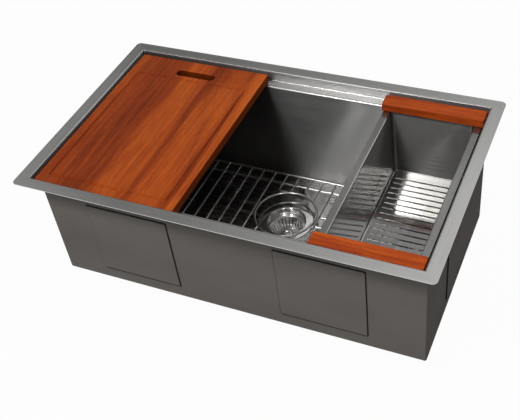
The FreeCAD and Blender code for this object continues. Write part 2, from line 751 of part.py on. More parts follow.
# ---------------------------------------------------------------- cutting board
def build_board():
    """Glued-up hardwood board with a hand slot and a juice groove."""
    width = of("board_width")
    low_y = -upper_y + of("board_front_gap")
    high_y = upper_y - of("board_back_gap")
    length = high_y - low_y
    low_x = -inner_x + of("board_left_gap")
    centre_x = low_x + width / 2
    centre_y = (low_y + high_y) / 2
    top_z = ledge_z + of("board_thick")
    body = new_body("cutting_board")
    outline = new_sketch(body, "board_outline", height=ledge_z)
    rounded_rectangle(outline, width, length, of("board_corner"), centre_x, centre_y)
    pad(body, outline, "board_blank", of("board_thick"))
    doc.recompute()
    slot = new_sketch(body, "hand_slot_outline", height=top_z)
    slot_y = high_y - of("hand_slot_back")
    rounded_rectangle(slot, of("hand_slot_length"), of("hand_slot_width"),
                      of("hand_slot_corner"), centre_x, slot_y)
    pocket(body, slot, "hand_slot", of("board_thick"))
    groove = new_sketch(body, "groove_outline", height=top_z)
    run_x = width - of("groove_side") * 2
    run_low = low_y + of("groove_front")
    run_high = high_y - of("groove_back")
    run_y = run_high - run_low
    groove_y = (run_low + run_high) / 2
    wide = of("groove_width")
    bend = of("groove_corner")
    rounded_rectangle(groove, run_x + wide, run_y + wide, bend + wide / 2, centre_x, groove_y)
    inner = new_sketch(body, "groove_island_outline", height=top_z)
    rounded_rectangle(inner, run_x - wide, run_y - wide, bend - wide / 2, centre_x, groove_y)
    pocket(body, groove, "groove_field", of("groove_deep"))
    island = pad(body, inner, "groove_island", of("groove_deep"), downwards=True)

    def outer_edge(edge):
        box = edge.BoundBox
        heights = [height.value for height in (ledge_z, top_z)]
        flat = any(abs(box.ZMin - z) < 1e-4 and abs(box.ZMax - z) < 1e-4 for z in heights)
        reach = (abs(box.XMin - low_x.value), abs(box.XMax - (low_x + width).value),
                 abs(box.YMin - low_y.value), abs(box.YMax - high_y.value))
        return flat and min(reach) < 1e-4

    fillet(body, island, "board_edges", of("board_edge"), outer_edge)
    finish(body, "cutting_board")


# ---------------------------------------------------------------- colander
def build_colander():
    """Pressed colander with a flat rim, slotted floor, two screwed-on wooden handles."""
    skin = of("colander_sheet")
    rim_low = ledge_z
    rim_top = ledge_z + skin
    high_x = inner_x - of("colander_right_gap")
    low_x = high_x - of("colander_width")
    centre_x = (low_x + high_x) / 2
    handle_front = -upper_y + of("colander_front_gap")
    handle_back = upper_y - of("colander_back_gap")
    rim_front = handle_front + of("rim_under_handle")
    rim_back = handle_back - of("rim_under_handle")
    wall_front = -inner_y + of("basket_front_clear")
    wall_back = inner_y - of("basket_back_clear")
    wall_y = (wall_front + wall_back) / 2
    top_length = wall_back - wall_front
    top_width = of("colander_width") - of("rim_strip") * 2 + skin * 2
    floor_top = rim_top - of("colander_depth")
    floor_low = floor_top - skin
    draw = of("colander_taper") * 2
    screw_columns = {"left": low_x + of("screw_inset"), "right": high_x - of("screw_inset")}
    screw_rows = {"front": rim_front + of("screw_from_edge"), "back": rim_back - of("screw_from_edge")}

    body = new_body("colander_basket")
    rim = new_sketch(body, "colander_rim_outline", height=rim_low)
    rounded_rectangle(rim, of("colander_width"), rim_back - rim_front, of("colander_rim_corner"),
                      centre_x, (rim_front + rim_back) / 2)
    pad(body, rim, "colander_rim", skin)
    corner_out = of("colander_corner") + skin
    mouth_out = new_sketch(body, "wall_mouth", height=rim_top)
    rounded_rectangle(mouth_out, top_width, top_length, corner_out, centre_x, wall_y)
    floor_out = new_sketch(body, "wall_floor", height=floor_low)
    rounded_rectangle(floor_out, top_width - draw, top_length - draw, corner_out, centre_x, wall_y)
    outer = body.newObject("PartDesign::AdditiveLoft", "wall_block")
    outer.Profile = mouth_out
    outer.Sections = [floor_out]
    outer.Ruled = True
    doc.recompute()
    mouth_in = new_sketch(body, "hollow_mouth", height=rim_top)
    rounded_rectangle(mouth_in, top_width - skin * 2, top_length - skin * 2, of("colander_corner"),
                      centre_x, wall_y)
    floor_in = new_sketch(body, "hollow_floor", height=floor_top)
    rounded_rectangle(floor_in, top_width - draw - skin * 2, top_length - draw - skin * 2,
                      of("colander_corner"), centre_x, wall_y)
    before = body.Shape.Volume
    hollow = body.newObject("PartDesign::SubtractiveLoft", "hollow")
    hollow.Profile = mouth_in
    hollow.Sections = [floor_in]
    hollow.Ruled = True
    doc.recompute()
    if body.Shape.Volume >= before:
        raise RuntimeError("the colander is not hollow")
    inside = fillet(body, hollow, "inner_floor_bend", of("colander_floor_edge"), edge_at_height(floor_top))
    outside = fillet(body, inside, "outer_floor_bend", of("colander_floor_edge") + skin,
                     edge_at_height(floor_low))
    for row, y in screw_rows.items():
        for column, x in screw_columns.items():
            countersink(body, "screw_seat_%s_%s" % (row, column), x, y, rim_low)

    back_slot = wall_back - skin - of("colander_taper") - of("drain_slot_margin")
    front_slot = wall_front + skin + of("colander_taper") + of("drain_slot_margin")
    rows = int((back_slot.value - front_slot.value) / of("drain_slot_pitch").value) + 1
    slot = new_sketch(body, "drain_slot_outline", height=floor_top)
    rounded_rectangle(slot, of("drain_slot_length"), of("drain_slot_width"), of("drain_slot_corner"),
                      centre_x, back_slot)
    cut = pocket(body, slot, "drain_slot", skin)
    pattern = body.newObject("PartDesign::LinearPattern", "drain_slots")
    pattern.Originals = [cut]
    pattern.Direction = (plane(body, "Y_Axis"), [""])
    pattern.Reversed = True
    bind(pattern, "Length", of("drain_slot_pitch") * (rows - 1))
    pattern.Occurrences = rows
    body.Tip = pattern
    doc.recompute()
    finish(body, "colander_basket")

    handle_centres = {"front": handle_front + of("handle_width") / 2,
                      "back": handle_back - of("handle_width") / 2}
    for row, y in screw_rows.items():
        build_handle("colander_handle_" + row, centre_x, handle_centres[row], rim_low, rim_top,
                     screw_columns, y)
        for column, x in screw_columns.items():
            build_screw("handle_screw_%s_%s" % (row, column), x, y, rim_low)


def countersink(body, name, x, y, low):
    """A cone opening downwards for a screw's head, then a hole for its shank."""
    cone = body.newObject("PartDesign::SubtractiveCone", name + "_cone")
    bind(cone, "Radius1", of("screw_head") + of("screw_gap"))
    bind(cone, "Radius2", of("screw_radius") + of("screw_gap"))
    bind(cone, "Height", of("screw_head") - of("screw_radius"))
    shank = body.newObject("PartDesign::SubtractiveCylinder", name + "_shank")
    bind(shank, "Radius", of("screw_radius") + of("screw_gap"))
    bind(shank, "Height", of("screw_long") + of("screw_gap"))
    for cutter in (cone, shank):
        cutter.AttachmentSupport = [(plane(body, "XY_Plane"), "")]
        cutter.MapMode = "FlatFace"
        for axis, where in (("x", x), ("y", y), ("z", low)):
            bind(cutter, "AttachmentOffset.Base." + axis, where)
    doc.recompute()


def build_handle(node, centre_x, centre_y, rim_low, rim_top, screw_columns, screw_y):
    """A wooden handle on the rim, with blind holes for its screws."""
    width = of("colander_width") + of("handle_over") * 2
    body = new_body(node)
    outline = new_sketch(body, node + "_outline", height=rim_top)
    rounded_rectangle(outline, width, of("handle_width"), of("handle_edge"), centre_x, centre_y)
    block = pad(body, outline, node + "_blank", of("handle_thick"))
    fillet(body, block, node + "_edges", of("handle_edge"), edge_at_height(rim_top + of("handle_thick")))
    for column, x in screw_columns.items():
        countersink(body, "%s_%s" % (node, column), x, screw_y, rim_low)
    finish(body, node)


def build_screw(node, x, y, low):
    """A countersunk screw up through the rim into a handle, its head flush under the rim."""
    body = new_body(node)
    sketch = new_sketch(body, node + "_profile", "XZ_Plane")
    shank, head = of("screw_radius"), of("screw_head")
    profile_sketch(sketch, [
        (ZERO, ZERO),
        (head, ZERO),
        (shank, head - shank),
        (shank, of("screw_long") - shank),
        (ZERO, of("screw_long")),
    ])
    revolved(body, sketch, node + "_turned")
    move_body(body, x, y, low)
    doc.recompute()
    finish(body, node)


build_bowl()
build_pads()
build_drain()
build_strainer()
build_grid()
build_board()
build_colander()
doc.recompute()

# ---------------------------------------------------------------- checks and export
for item in doc.Objects:
    if any(word in ("Invalid", "Error") for word in item.State):
        raise RuntimeError("%s did not build: %s" % (item.Label, item.State))

os.makedirs("parts", exist_ok=True)
for item in finished:
    shape = item.Shape
    if shape.isNull() or not shape.isValid() or not shape.Solids:
        raise RuntimeError("%s has no valid solid" % item.Label)
    shape.exportStep("parts/%s.step" % item.Label)
    print("%-26s solids %d  volume %.1f" % (item.Label, len(shape.Solids), shape.Volume))
print(len(finished), "nodes")
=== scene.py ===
"""Workstation kitchen sink: steel bowl with ledges, sliding board, colander, wire grid and strainer."""
import math

import bmesh
import bpy
from mathutils import Matrix, Vector


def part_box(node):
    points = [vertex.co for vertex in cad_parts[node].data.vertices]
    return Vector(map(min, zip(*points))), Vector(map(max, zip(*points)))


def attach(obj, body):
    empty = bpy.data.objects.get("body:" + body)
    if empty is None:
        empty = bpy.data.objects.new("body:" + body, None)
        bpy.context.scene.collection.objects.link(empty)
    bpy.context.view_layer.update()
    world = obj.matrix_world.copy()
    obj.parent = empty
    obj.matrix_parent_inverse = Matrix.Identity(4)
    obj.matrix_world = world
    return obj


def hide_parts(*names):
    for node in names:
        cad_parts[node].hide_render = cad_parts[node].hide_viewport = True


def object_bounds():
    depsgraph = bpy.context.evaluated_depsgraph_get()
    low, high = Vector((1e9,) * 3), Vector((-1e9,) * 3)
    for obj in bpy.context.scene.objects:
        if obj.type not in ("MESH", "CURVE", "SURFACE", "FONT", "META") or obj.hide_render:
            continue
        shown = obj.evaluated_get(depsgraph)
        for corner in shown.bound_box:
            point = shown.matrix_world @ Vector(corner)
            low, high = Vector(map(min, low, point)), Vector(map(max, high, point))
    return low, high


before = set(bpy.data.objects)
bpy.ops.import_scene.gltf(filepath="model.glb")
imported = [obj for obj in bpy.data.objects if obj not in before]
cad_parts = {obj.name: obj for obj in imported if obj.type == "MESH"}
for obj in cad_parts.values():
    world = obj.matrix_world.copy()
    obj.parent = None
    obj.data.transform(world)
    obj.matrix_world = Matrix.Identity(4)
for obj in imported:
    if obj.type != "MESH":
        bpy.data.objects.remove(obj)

cad_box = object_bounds()
scene = bpy.context.scene
scene.view_settings.view_transform = "Standard"


# ------------------------------------------------------------------ camera
# The photograph was taken from the front right, above the rim, with a mild telephoto lens held a
# little tilted.  The picture is a crop, so the lens axis lies off its centre.
PHOTO_WIDTH, PHOTO_HEIGHT = 520, 420
lens_axis_px = (278.9, 215.5)
focal_px = 886.21
camera_place = Vector((0.6508, -1.1805, 1.0816))
yaw, pitch, roll = (math.radians(angle) for angle in (-28.233, 43.563, -7.574))

forward = Vector((math.sin(yaw) * math.cos(pitch), math.cos(yaw) * math.cos(pitch), -math.sin(pitch)))
level_right = Vector((math.cos(yaw), -math.sin(yaw), 0.0))
level_up = level_right.cross(forward)
camera_right = math.cos(roll) * level_right + math.sin(roll) * level_up
camera_up = math.cos(roll) * level_up - math.sin(roll) * level_right

lens = bpy.data.cameras.new("photo_camera")
lens.sensor_width = 36.0
lens.lens = focal_px * lens.sensor_width / PHOTO_WIDTH
lens.shift_x = (PHOTO_WIDTH / 2 - lens_axis_px[0]) / PHOTO_WIDTH
lens.shift_y = (lens_axis_px[1] - PHOTO_HEIGHT / 2) / PHOTO_WIDTH
lens.clip_end = 50.0
camera = bpy.data.objects.new("photo_camera", lens)
facing = Matrix((camera_right, camera_up, -forward)).transposed().to_4x4()
camera.matrix_world = Matrix.Translation(camera_place) @ facing
scene.collection.objects.link(camera)
scene.camera = camera


# ------------------------------------------------------------------ room
# A pale floor and a surround that look plain white to the camera, with soft boxes above.  Gloss
# sees the same floor, but a dim room with a soft box and a side panel.
def operator(operation, swapped=False):
    """An operator of values in a node tree, which adds a Math node."""
    def method(self, other=0.0):
        values = (other, self) if swapped else (self, other)
        return self.owner.node("ShaderNodeMath", dict(operation=operation), dict(enumerate(values)))
    return method


class Value:
    """A value in a node tree; arithmetic on it adds nodes."""
    __add__ = __radd__ = operator("ADD")
    __sub__ = operator("SUBTRACT")
    __rsub__ = operator("SUBTRACT", swapped=True)
    __mul__ = __rmul__ = operator("MULTIPLY")
    __truediv__ = operator("DIVIDE")
    __pow__ = operator("POWER")
    __abs__ = operator("ABSOLUTE")
    __gt__ = operator("GREATER_THAN")
    __lt__ = operator("LESS_THAN")

    def __init__(self, owner, socket):
        self.owner, self.socket = owner, socket


class Tree:
    """A node tree; its own family's name is left out of the names of nodes."""

    def node(self, kind, settings=(), values=(), out=0):
        """Adds a node: its settings first, then the values or links of its sockets."""
        made = self.tree.nodes.new(kind if "Node" in kind else self.family + kind)
        for key, value in dict(settings).items():
            if key == "stops":
                ramp = made.color_ramp
                while len(ramp.elements) < len(value):
                    ramp.elements.new(1.0)
                for element, (place, colour) in zip(ramp.elements, value):
                    element.position = place
                    element.color = (*colour, 1.0)
            else:
                setattr(made, key, value)
        for key, value in dict(values).items():
            target = made.inputs[key]
            if isinstance(value, Value):
                self.tree.links.new(value.socket, target)
            elif isinstance(value, tuple) and target.type == "RGBA":
                target.default_value = (*value, 1.0)
            else:
                target.default_value = value
        return Value(self, made.outputs[out]) if made.outputs else made


class Finish(Tree):
    """One surface finish."""
    family = "ShaderNode"

    def __init__(self, name, data=None):
        self.data = data or bpy.data.materials.new(name)
        self.data.use_nodes = True
        self.tree = self.data.node_tree
        self.tree.nodes.clear()

    def place(self, centre=(0, 0, 0), stretch=(1, 1, 1)):
        """Object coordinates, moved and stretched."""
        coords = self.node("TexCoord", out="Object")
        moved = self.node("VectorMath", dict(operation="SUBTRACT"), {0: coords, 1: centre})
        return self.node("Mapping", {}, {"Vector": moved, "Scale": stretch})

    def axes(self, where=None):
        """Coordinates as three values: those of the object, unless others are given."""
        if where is None:
            where = self.node("TexCoord", out="Object")
        return [self.node("SeparateXYZ", {}, {0: where}, out=axis) for axis in "XYZ"]

    def rays(self, *kinds):
        """One for light rays of any of these kinds, zero for the others."""
        found = 0.0
        for kind in kinds:
            found = self.node("Math", dict(operation="MAXIMUM"), {
                0: found, 1: self.node("LightPath", out="Is %s Ray" % kind)})
        return found

    def noise(self, where, scale, detail=3.0, rough=0.5, twist=0.0):
        return self.node("TexNoise", {}, {"Vector": where, "Scale": scale, "Detail": detail,
                                          "Roughness": rough, "Distortion": twist})

    def limits(self, value, low, high, to_low=0.0, to_high=1.0):
        """Maps a value from one range to another, and keeps it there."""
        return self.node("MapRange", {}, {"Value": value, "From Min": low, "From Max": high,
                                          "To Min": to_low, "To Max": to_high})

    def ramp(self, value, *stops):
        return self.node("ValToRGB", {"stops": stops}, {"Fac": value})

    def mix(self, factor, first, second, blend="MIX"):
        """Mixes two colours."""
        settings = dict(data_type="RGBA", blend_type=blend)
        return self.node("Mix", settings, {0: factor, 6: first, 7: second}, out=2)

    def bump(self, height, depth, strength):
        return self.node("Bump", {}, {"Height": height, "Distance": depth, "Strength": strength})

    def surface(self, **values):
        """The Principled shader, with underscores for the spaces in its socket names."""
        named = {key.replace("_", " "): value for key, value in values.items()}
        return self.node("BsdfPrincipled", {}, named)

    def hazed(self, haze, soft, drawn_out=(), **values):
        """A clear reflection under a soft one, which may be drawn out across the brushing, as on
        bright-rolled or polished steel."""
        clear = self.surface(**values)
        values.update(drawn_out, Roughness=soft)
        return self.node("MixShader", {}, {0: haze, 1: clear, 2: self.surface(**values)})

    def done(self, shader, kind="OutputMaterial"):
        self.node(kind, {}, {"Surface": shader})
        return self.data


def toned(colour, share):
    """A darker or paler tone of a colour."""
    return tuple(min(channel * share, 1.0) for channel in colour)


def link(name, mesh):
    piece = bpy.data.objects.new(name, mesh)
    scene.collection.objects.link(piece)
    return piece


CORNERS = ((1, 1), (-1, 1), (-1, -1), (1, -1))
WHITE = (1.0, 1.0, 1.0)
FLOOR_BELOW, FLOOR_REACH, FLOOR_WHITE = 0.008, 6.0, 0.97
floor_mesh = bpy.data.meshes.new("floor")
floor_mesh.from_pydata([(x * FLOOR_REACH, y * FLOOR_REACH, cad_box[0].z - FLOOR_BELOW)
                        for x, y in CORNERS], [], [(0, 1, 2, 3)])
floor = link("floor", floor_mesh)
paper = Finish("pale_floor")
seen = paper.rays("Camera", "Glossy", "Transmission") * FLOOR_WHITE
matt = paper.node("BsdfDiffuse", {}, {"Color": (0.48, 0.48, 0.475)})
white = paper.node("Emission", {}, {"Color": WHITE, "Strength": 1.0})
floor_mesh.materials.append(paper.done(paper.node("MixShader", {}, {0: seen, 1: matt, 2: white})))

scene.world = bpy.data.worlds.new("studio")
surround = Finish("studio", scene.world)
direction = surround.node("TexCoord", out="Generated")
to_right, to_back, _ = surround.axes(direction)
to_left = to_right * -1.0
# gloss sees a broad soft box high behind the sink, and a plain panel on the left
box_direction = Vector((0.05, 0.57, 0.82)).normalized()
nearness = surround.node("VectorMath", dict(operation="DOT_PRODUCT"), {
    0: direction, 1: tuple(box_direction)}, out="Value")
gloss_level = surround.ramp(nearness, *[(place, (level,) * 3) for place, level in (
    (0.0, 0.06), (0.70, 0.06), (0.78, 0.08), (0.82, 0.11), (0.88, 0.27), (0.935, 0.42), (0.97, 0.86))])
panel = surround.limits(to_left, 0.52, 0.60, 0.0, 0.36)
panel = surround.node("CombineColor", {}, {0: panel, 1: panel, 2: panel})
gloss_level = surround.mix(1.0, gloss_level, panel, "ADD")
# dull surfaces get soft light from the left, most of it from behind
behind_left = surround.limits(to_back, 0.1, 0.6, 0.0, 0.55) * surround.limits(to_left, -0.1, 0.3)
plain_level = surround.limits(to_left, -0.8, 0.3, 0.03, 0.43) + behind_left
plain = surround.node("Background", {}, {"Color": WHITE, "Strength": plain_level})
sheen = surround.node("Background", {}, {"Color": gloss_level, "Strength": 1.0})
bright = surround.node("Background", {}, {"Color": WHITE, "Strength": 1.0})
lit = surround.node("MixShader", {}, {0: surround.rays("Glossy"), 1: plain, 2: sheen})
surround.done(surround.node("MixShader", {}, {0: surround.rays("Camera"), 1: lit, 2: bright}),
              "OutputWorld")

for name, place, target, width, depth, power in (
        ("key_box", (-0.80, -1.70, 2.60), (0.0, 0.0, -0.1), 0.75, 0.45, 42.0),
        ("low_box", (-0.85, -2.50, 1.00), (0.1, 0.0, -0.1), 0.9, 0.5, 5.0),
        ("corner_box", (-0.46, -1.95, 2.68), (0.28, 0.10, -0.17), 0.5, 0.5, 15.0),
        ("front_right_box", (1.35, -1.95, 2.25), (0.28, 0.10, -0.17), 0.46, 0.46, 14.0),
        ("back_box", (1.45, 2.30, 1.85), (-0.3, 0.0, 0.0), 1.6, 1.3, 16.0)):
    light = bpy.data.lights.new(name, "AREA")
    light.shape = "RECTANGLE"
    light.size, light.size_y = width, depth
    light.energy = power
    lamp = bpy.data.objects.new(name, light)
    lamp.location = place
    lamp.rotation_euler = (Vector(target) - Vector(place)).to_track_quat("-Z", "Y").to_euler()
    scene.collection.objects.link(lamp)


# ------------------------------------------------------------------ bowl
# One sheet of stainless steel, cut, folded and welded: a flat rim, upper walls, a ledge front and
# back, tight-cornered walls and a floor with a pressed seat for the drain.  Brushed inside, and
# sprayed outside with a grey sound coating.
SHEET = 0.0015


def meshed(name, shape):
    """A piece with the shape of a bmesh, which is freed."""
    mesh = bpy.data.meshes.new(name)
    shape.to_mesh(mesh)
    shape.free()
    return link(name, mesh)


def baked(piece):
    """Turns a piece with its modifiers into a plain mesh."""
    graph = bpy.context.evaluated_depsgraph_get()
    mesh = bpy.data.meshes.new_from_object(piece.evaluated_get(graph))
    mesh.name = piece.name
    name = piece.name
    bpy.data.objects.remove(piece)
    return link(name, mesh)


def fixed(piece, body, slot, *nodes):
    """The piece rides on a body, in place of the named nodes, which are hidden; the finish slot given is
    not used.
    """
    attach(piece, body)
    if nodes:
        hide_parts(*nodes)


rim_x, rim_y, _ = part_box("bowl")[1]
floor_top = -0.273
rim_side, rim_long = 0.0268, 0.0257
wall_x = rim_x - rim_side
upper_y = rim_y - rim_long
ledge_y = upper_y - 0.0228
ledge_z = -0.0226
RIM_CORNER = 0.010
FOLD, HOLLOW_SHARE, SEAT_SHARE, CUT_EDGE = 0.0033, 0.7, 0.35, 0.0004
drain_y = sum(corner.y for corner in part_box("drain_body")) / 2
seat_radius, seat_drop, drain_hole = 0.0615, 0.0025, 0.0445
SEAT_STEPS = 64


def arc(centre_x, centre_y, radius, start, end, steps):
    """Points along an arc in the XY plane, its angles in degrees."""
    angles = [math.radians(start + (end - start) * step / steps) for step in range(steps + 1)]
    return [(centre_x + radius * math.cos(a), centre_y + radius * math.sin(a)) for a in angles]


def circle(radius, steps):
    """A ring of points round the drain's axis."""
    return arc(0.0, drain_y, radius, 0, 360, steps)[:-1]


def rounded_loop(low, high, radius, steps):
    """A closed rectangle with rounded corners, from its low corner to its high one."""
    points = []
    for x, y, sx, sy, start in ((high[0], high[1], -1, -1, 0), (low[0], high[1], 1, -1, 90),
                                (low[0], low[1], 1, 1, 180), (high[0], low[1], -1, 1, 270)):
        points += arc(x + sx * radius, y + sy * radius, radius, start, start + 90, steps)
    return points


def skin(shape, rows, closed=False):
    """Bands of faces between rows of points, each row a closed loop."""
    for upper, lower in zip(rows, rows[1:] + rows[:1] if closed else rows[1:]):
        for index in range(len(upper)):
            following = (index + 1) % len(upper)
            shape.faces.new([upper[index], upper[following], lower[following], lower[index]])


def face_out(shape, up=()):
    """Turns the faces of a block outward, or those of a sheet so that the listed ones face up."""
    bmesh.ops.recalc_face_normals(shape, faces=shape.faces)
    if sum(face.normal.z for face in up) < 0:
        bmesh.ops.reverse_faces(shape, faces=shape.faces)


def build_bowl_shell():
    """The inner surface, sharp-edged; the folds and the thickness come from modifiers."""
    shell = bmesh.new()

    def points(flat, z):
        return [shell.verts.new((x, y, z)) for x, y in flat]

    # rim: a frame between its rounded outline and the mouth
    outline = rounded_loop((-rim_x, -rim_y), (rim_x, rim_y), RIM_CORNER, 8)
    outer = points(outline, 0.0)
    mouth = points([(x * wall_x, y * upper_y) for x, y in CORNERS], 0.0)
    per_corner = len(outline) // 4
    for corner in range(4):
        fan = outer[corner * per_corner:(corner + 1) * per_corner]
        middle = per_corner // 2
        following = outer[(corner + 1) % 4 * per_corner:(corner + 1) % 4 * per_corner + middle + 1]
        shell.faces.new([mouth[corner]] + fan[middle:] + following + [mouth[(corner + 1) % 4]])

    # upper walls, ledges and lower walls along the front and the back
    columns = {}
    for side in (-1, 1):
        top = [mouth[1], mouth[0]] if side > 0 else [mouth[2], mouth[3]]
        columns[side] = [top] + [points([(-wall_x, side * y), (wall_x, side * y)], z) for y, z in (
            (upper_y, ledge_z), (ledge_y, ledge_z), (ledge_y, floor_top))]
        for upper, lower in zip(columns[side], columns[side][1:]):
            shell.faces.new([upper[0], upper[1], lower[1], lower[0]])
    for end in (0, 1):
        front, back = [[row[end] for row in columns[side]] for side in (-1, 1)]
        shell.faces.new(front + back[::-1])

    # floor: four fields out from the drain seat, then the seat's wall and its flat
    seat_top = points(circle(seat_radius, SEAT_STEPS), floor_top)
    seat_low = points(circle(seat_radius, SEAT_STEPS), floor_top - seat_drop)
    hole = points(circle(drain_hole, SEAT_STEPS), floor_top - seat_drop)
    feet = [columns[1][3][1], columns[1][3][0], columns[-1][3][0], columns[-1][3][1]]
    spots = [min(range(SEAT_STEPS), key=lambda i: (seat_top[i].co - foot.co).length) for foot in feet]
    for index in range(4):
        first, last = spots[index], spots[(index + 1) % 4]
        run = [seat_top[(first + step) % SEAT_STEPS] for step in range((last - first) % SEAT_STEPS + 1)]
        shell.faces.new([feet[index]] + run + [feet[(index + 1) % 4]])
    skin(shell, [seat_top, seat_low, hole])
    shell.faces.ensure_lookup_table()
    face_out(shell, shell.faces[:1])

    weight = shell.edges.layers.float.new("bevel_weight_edge")
    for edge in shell.edges:
        if len(edge.link_faces) == 2 and edge.calc_face_angle() > math.radians(30):
            middle = (edge.verts[0].co + edge.verts[1].co) / 2
            at_seat = (middle.xy - Vector((0.0, drain_y))).length < seat_radius * 1.1
            first, other = edge.link_faces
            apart = other.calc_center_median() - first.calc_center_median()
            share = HOLLOW_SHARE if apart.dot(first.normal) > 0 else 1.0
            edge[weight] = SEAT_SHARE if at_seat and middle.z < ledge_z else share
    return meshed("bowl_shell", shell)


def brushed(finish, tone, rough, along, grain=900.0, depth=0.00001, contrast=1.0):
    """Satin steel: fine lines along one direction, a soft cloudiness, and a few wider marks."""
    lines = finish.noise(along, grain, 2.0, 0.6)
    bands = finish.noise(along, grain / 12, 3.0, 0.6)
    cloud = finish.noise(finish.place(), 9.0, 3.0)
    shade = (1.0 + (bands - 0.5) * (0.26 * contrast) + (cloud - 0.5) * 0.06
             + (lines - 0.5) * (0.34 * contrast))
    colour = finish.ramp(finish.limits(shade, 0.45, 1.55),
                         (0.0, toned(tone, 0.45)), (0.5, tone), (1.0, toned(tone, 1.55)))
    roughness = rough + (bands - 0.5) * 0.10 + (cloud - 0.5) * 0.08
    return colour, roughness, finish.bump(lines, depth, 0.5)


def line_places(finish):
    """Coordinates drawn out along the brushing: left to right, but front to back at the ends."""
    x, y, _ = finish.axes()
    drawn, mitre, inside = 0.015, 0.0005, 0.002
    end_strip = (abs(x) - wall_x) - (abs(y) - upper_y)
    at_end = (end_strip > -mitre) * (abs(x) > wall_x - inside)
    return finish.node("Mix", dict(data_type="VECTOR"), {
        0: at_end, 4: finish.place(stretch=(drawn, 1.0, 1.0)),
        5: finish.place(stretch=(1.0, drawn, 1.0))}, out=1)


def satin(name, tone, rough, drawn_out, **grain):
    """Brushed steel, whose reflections are drawn out across the brushing."""
    finish = Finish(name)
    colour, roughness, ripple = brushed(finish, tone, rough, line_places(finish), **grain)
    return finish.done(finish.surface(Base_Color=colour, Metallic=1.0, Roughness=roughness, Normal=ripple,
                                      Anisotropic=drawn_out, Anisotropic_Rotation=0.25))


# The walls and the floor are the same steel as the flat rim and ledges; their darker tones are painted
# shade.
flat_steel = satin("flat_steel", (0.60, 0.595, 0.58), 0.27, 0.4, depth=0.000003)
floor_steel = satin("floor_steel", (0.40, 0.395, 0.385), 0.27, 0.0)
wall_steel = satin("wall_steel", (0.30, 0.298, 0.294), 0.38, 0.85, depth=0.000003, contrast=0.4)


def sprayed(name, shadow_line_z=None):
    """Sprayed coating, matt and slightly pebbled. It can carry painted shade: darkened pad edges, and a
    painted shadow line along the pads' lower edge at the height given."""
    finish = Finish(name)
    pebbles = finish.noise(finish.place(), 620.0, 3.0, 0.6)
    passes = finish.noise(finish.place(stretch=(0.5, 0.5, 1.6)), 7.0, 4.0, 0.55)
    colour = finish.ramp(passes, (0.25, (0.122, 0.113, 0.105)), (0.75, (0.158, 0.146, 0.136)))
    colour = finish.mix(finish.limits(pebbles, 0.3, 0.7, 0.0, 0.35), colour, (0.168, 0.156, 0.145))
    if shadow_line_z is not None:
        # painted shade: the marked pad edges and a 3 mm painted shadow band along the wall pads' lower
        # edge are mixed towards near black
        shadow_line_wide = 0.0030
        painted_edge_shade = finish.node("Attribute", dict(attribute_name="edge"), {}, out="Fac")
        below = abs(finish.axes()[2] - (shadow_line_z + shadow_line_wide / 2)) < shadow_line_wide / 2
        for dark in (painted_edge_shade, below):
            colour = finish.mix(dark * 0.85, colour, (0.012, 0.011, 0.010))
    return finish.done(finish.surface(
        Base_Color=colour, Roughness=0.75 + (pebbles - 0.5) * 0.2, Specular_IOR_Level=0.02,
        Normal=finish.bump(pebbles, 0.00025, 0.5)))


coating = sprayed("sound_coating")


def modify(piece, kind, **settings):
    """Adds a modifier."""
    added = piece.modifiers.new(kind, kind)
    for key, value in settings.items():
        setattr(added, key, value)


def smooth(piece, sharp=40.0, material=None):
    """Smooth shading that keeps flats flat and edges over an angle sharp; it can add a material."""
    if material:
        piece.data.materials.append(material)
    for polygon in piece.data.polygons:
        polygon.use_smooth = True
    shape = bmesh.new()
    shape.from_mesh(piece.data)
    for edge in shape.edges:
        edge.smooth = len(edge.link_faces) == 2 and edge.calc_face_angle() < math.radians(sharp)
    shape.to_mesh(piece.data)
    shape.free()
    modify(piece, "WEIGHTED_NORMAL", keep_sharp=True)
    return baked(piece)


bowl = build_bowl_shell()
for finish in (flat_steel, coating, wall_steel, floor_steel):
    bowl.data.materials.append(finish)
modify(bowl, "BEVEL", limit_method="WEIGHT", width=FOLD, segments=4, use_clamp_overlap=False)
modify(bowl, "SOLIDIFY", thickness=SHEET, offset=-1.0, use_even_offset=True, material_offset=1)
modify(bowl, "BEVEL", limit_method="ANGLE", angle_limit=math.radians(60), width=CUT_EDGE, segments=2)
bowl = baked(bowl)
FLAT, WALL, FLOOR = 0, 2, 3
# upright walls and the low floor get the darker copies, which carry painted shade
for polygon in bowl.data.polygons:
    middle = polygon.center
    beyond = abs(middle.x) > wall_x + SHEET * 1.6 or abs(middle.y) > upper_y + SHEET * 1.6
    if beyond and middle.z > -SHEET * 1.2:
        polygon.material_index = FLAT
    elif polygon.material_index == FLAT and middle.z < -FOLD - 0.0002:
        upright = abs(polygon.normal.z) < 0.7
        polygon.material_index = WALL if upright else FLAT if middle.z > floor_top / 2 else FLOOR
    elif polygon.material_index == FLAT and polygon.normal.z < 0.98:
        polygon.material_index = WALL
fixed(smooth(bowl), "sink", "brushed_steel", "bowl")


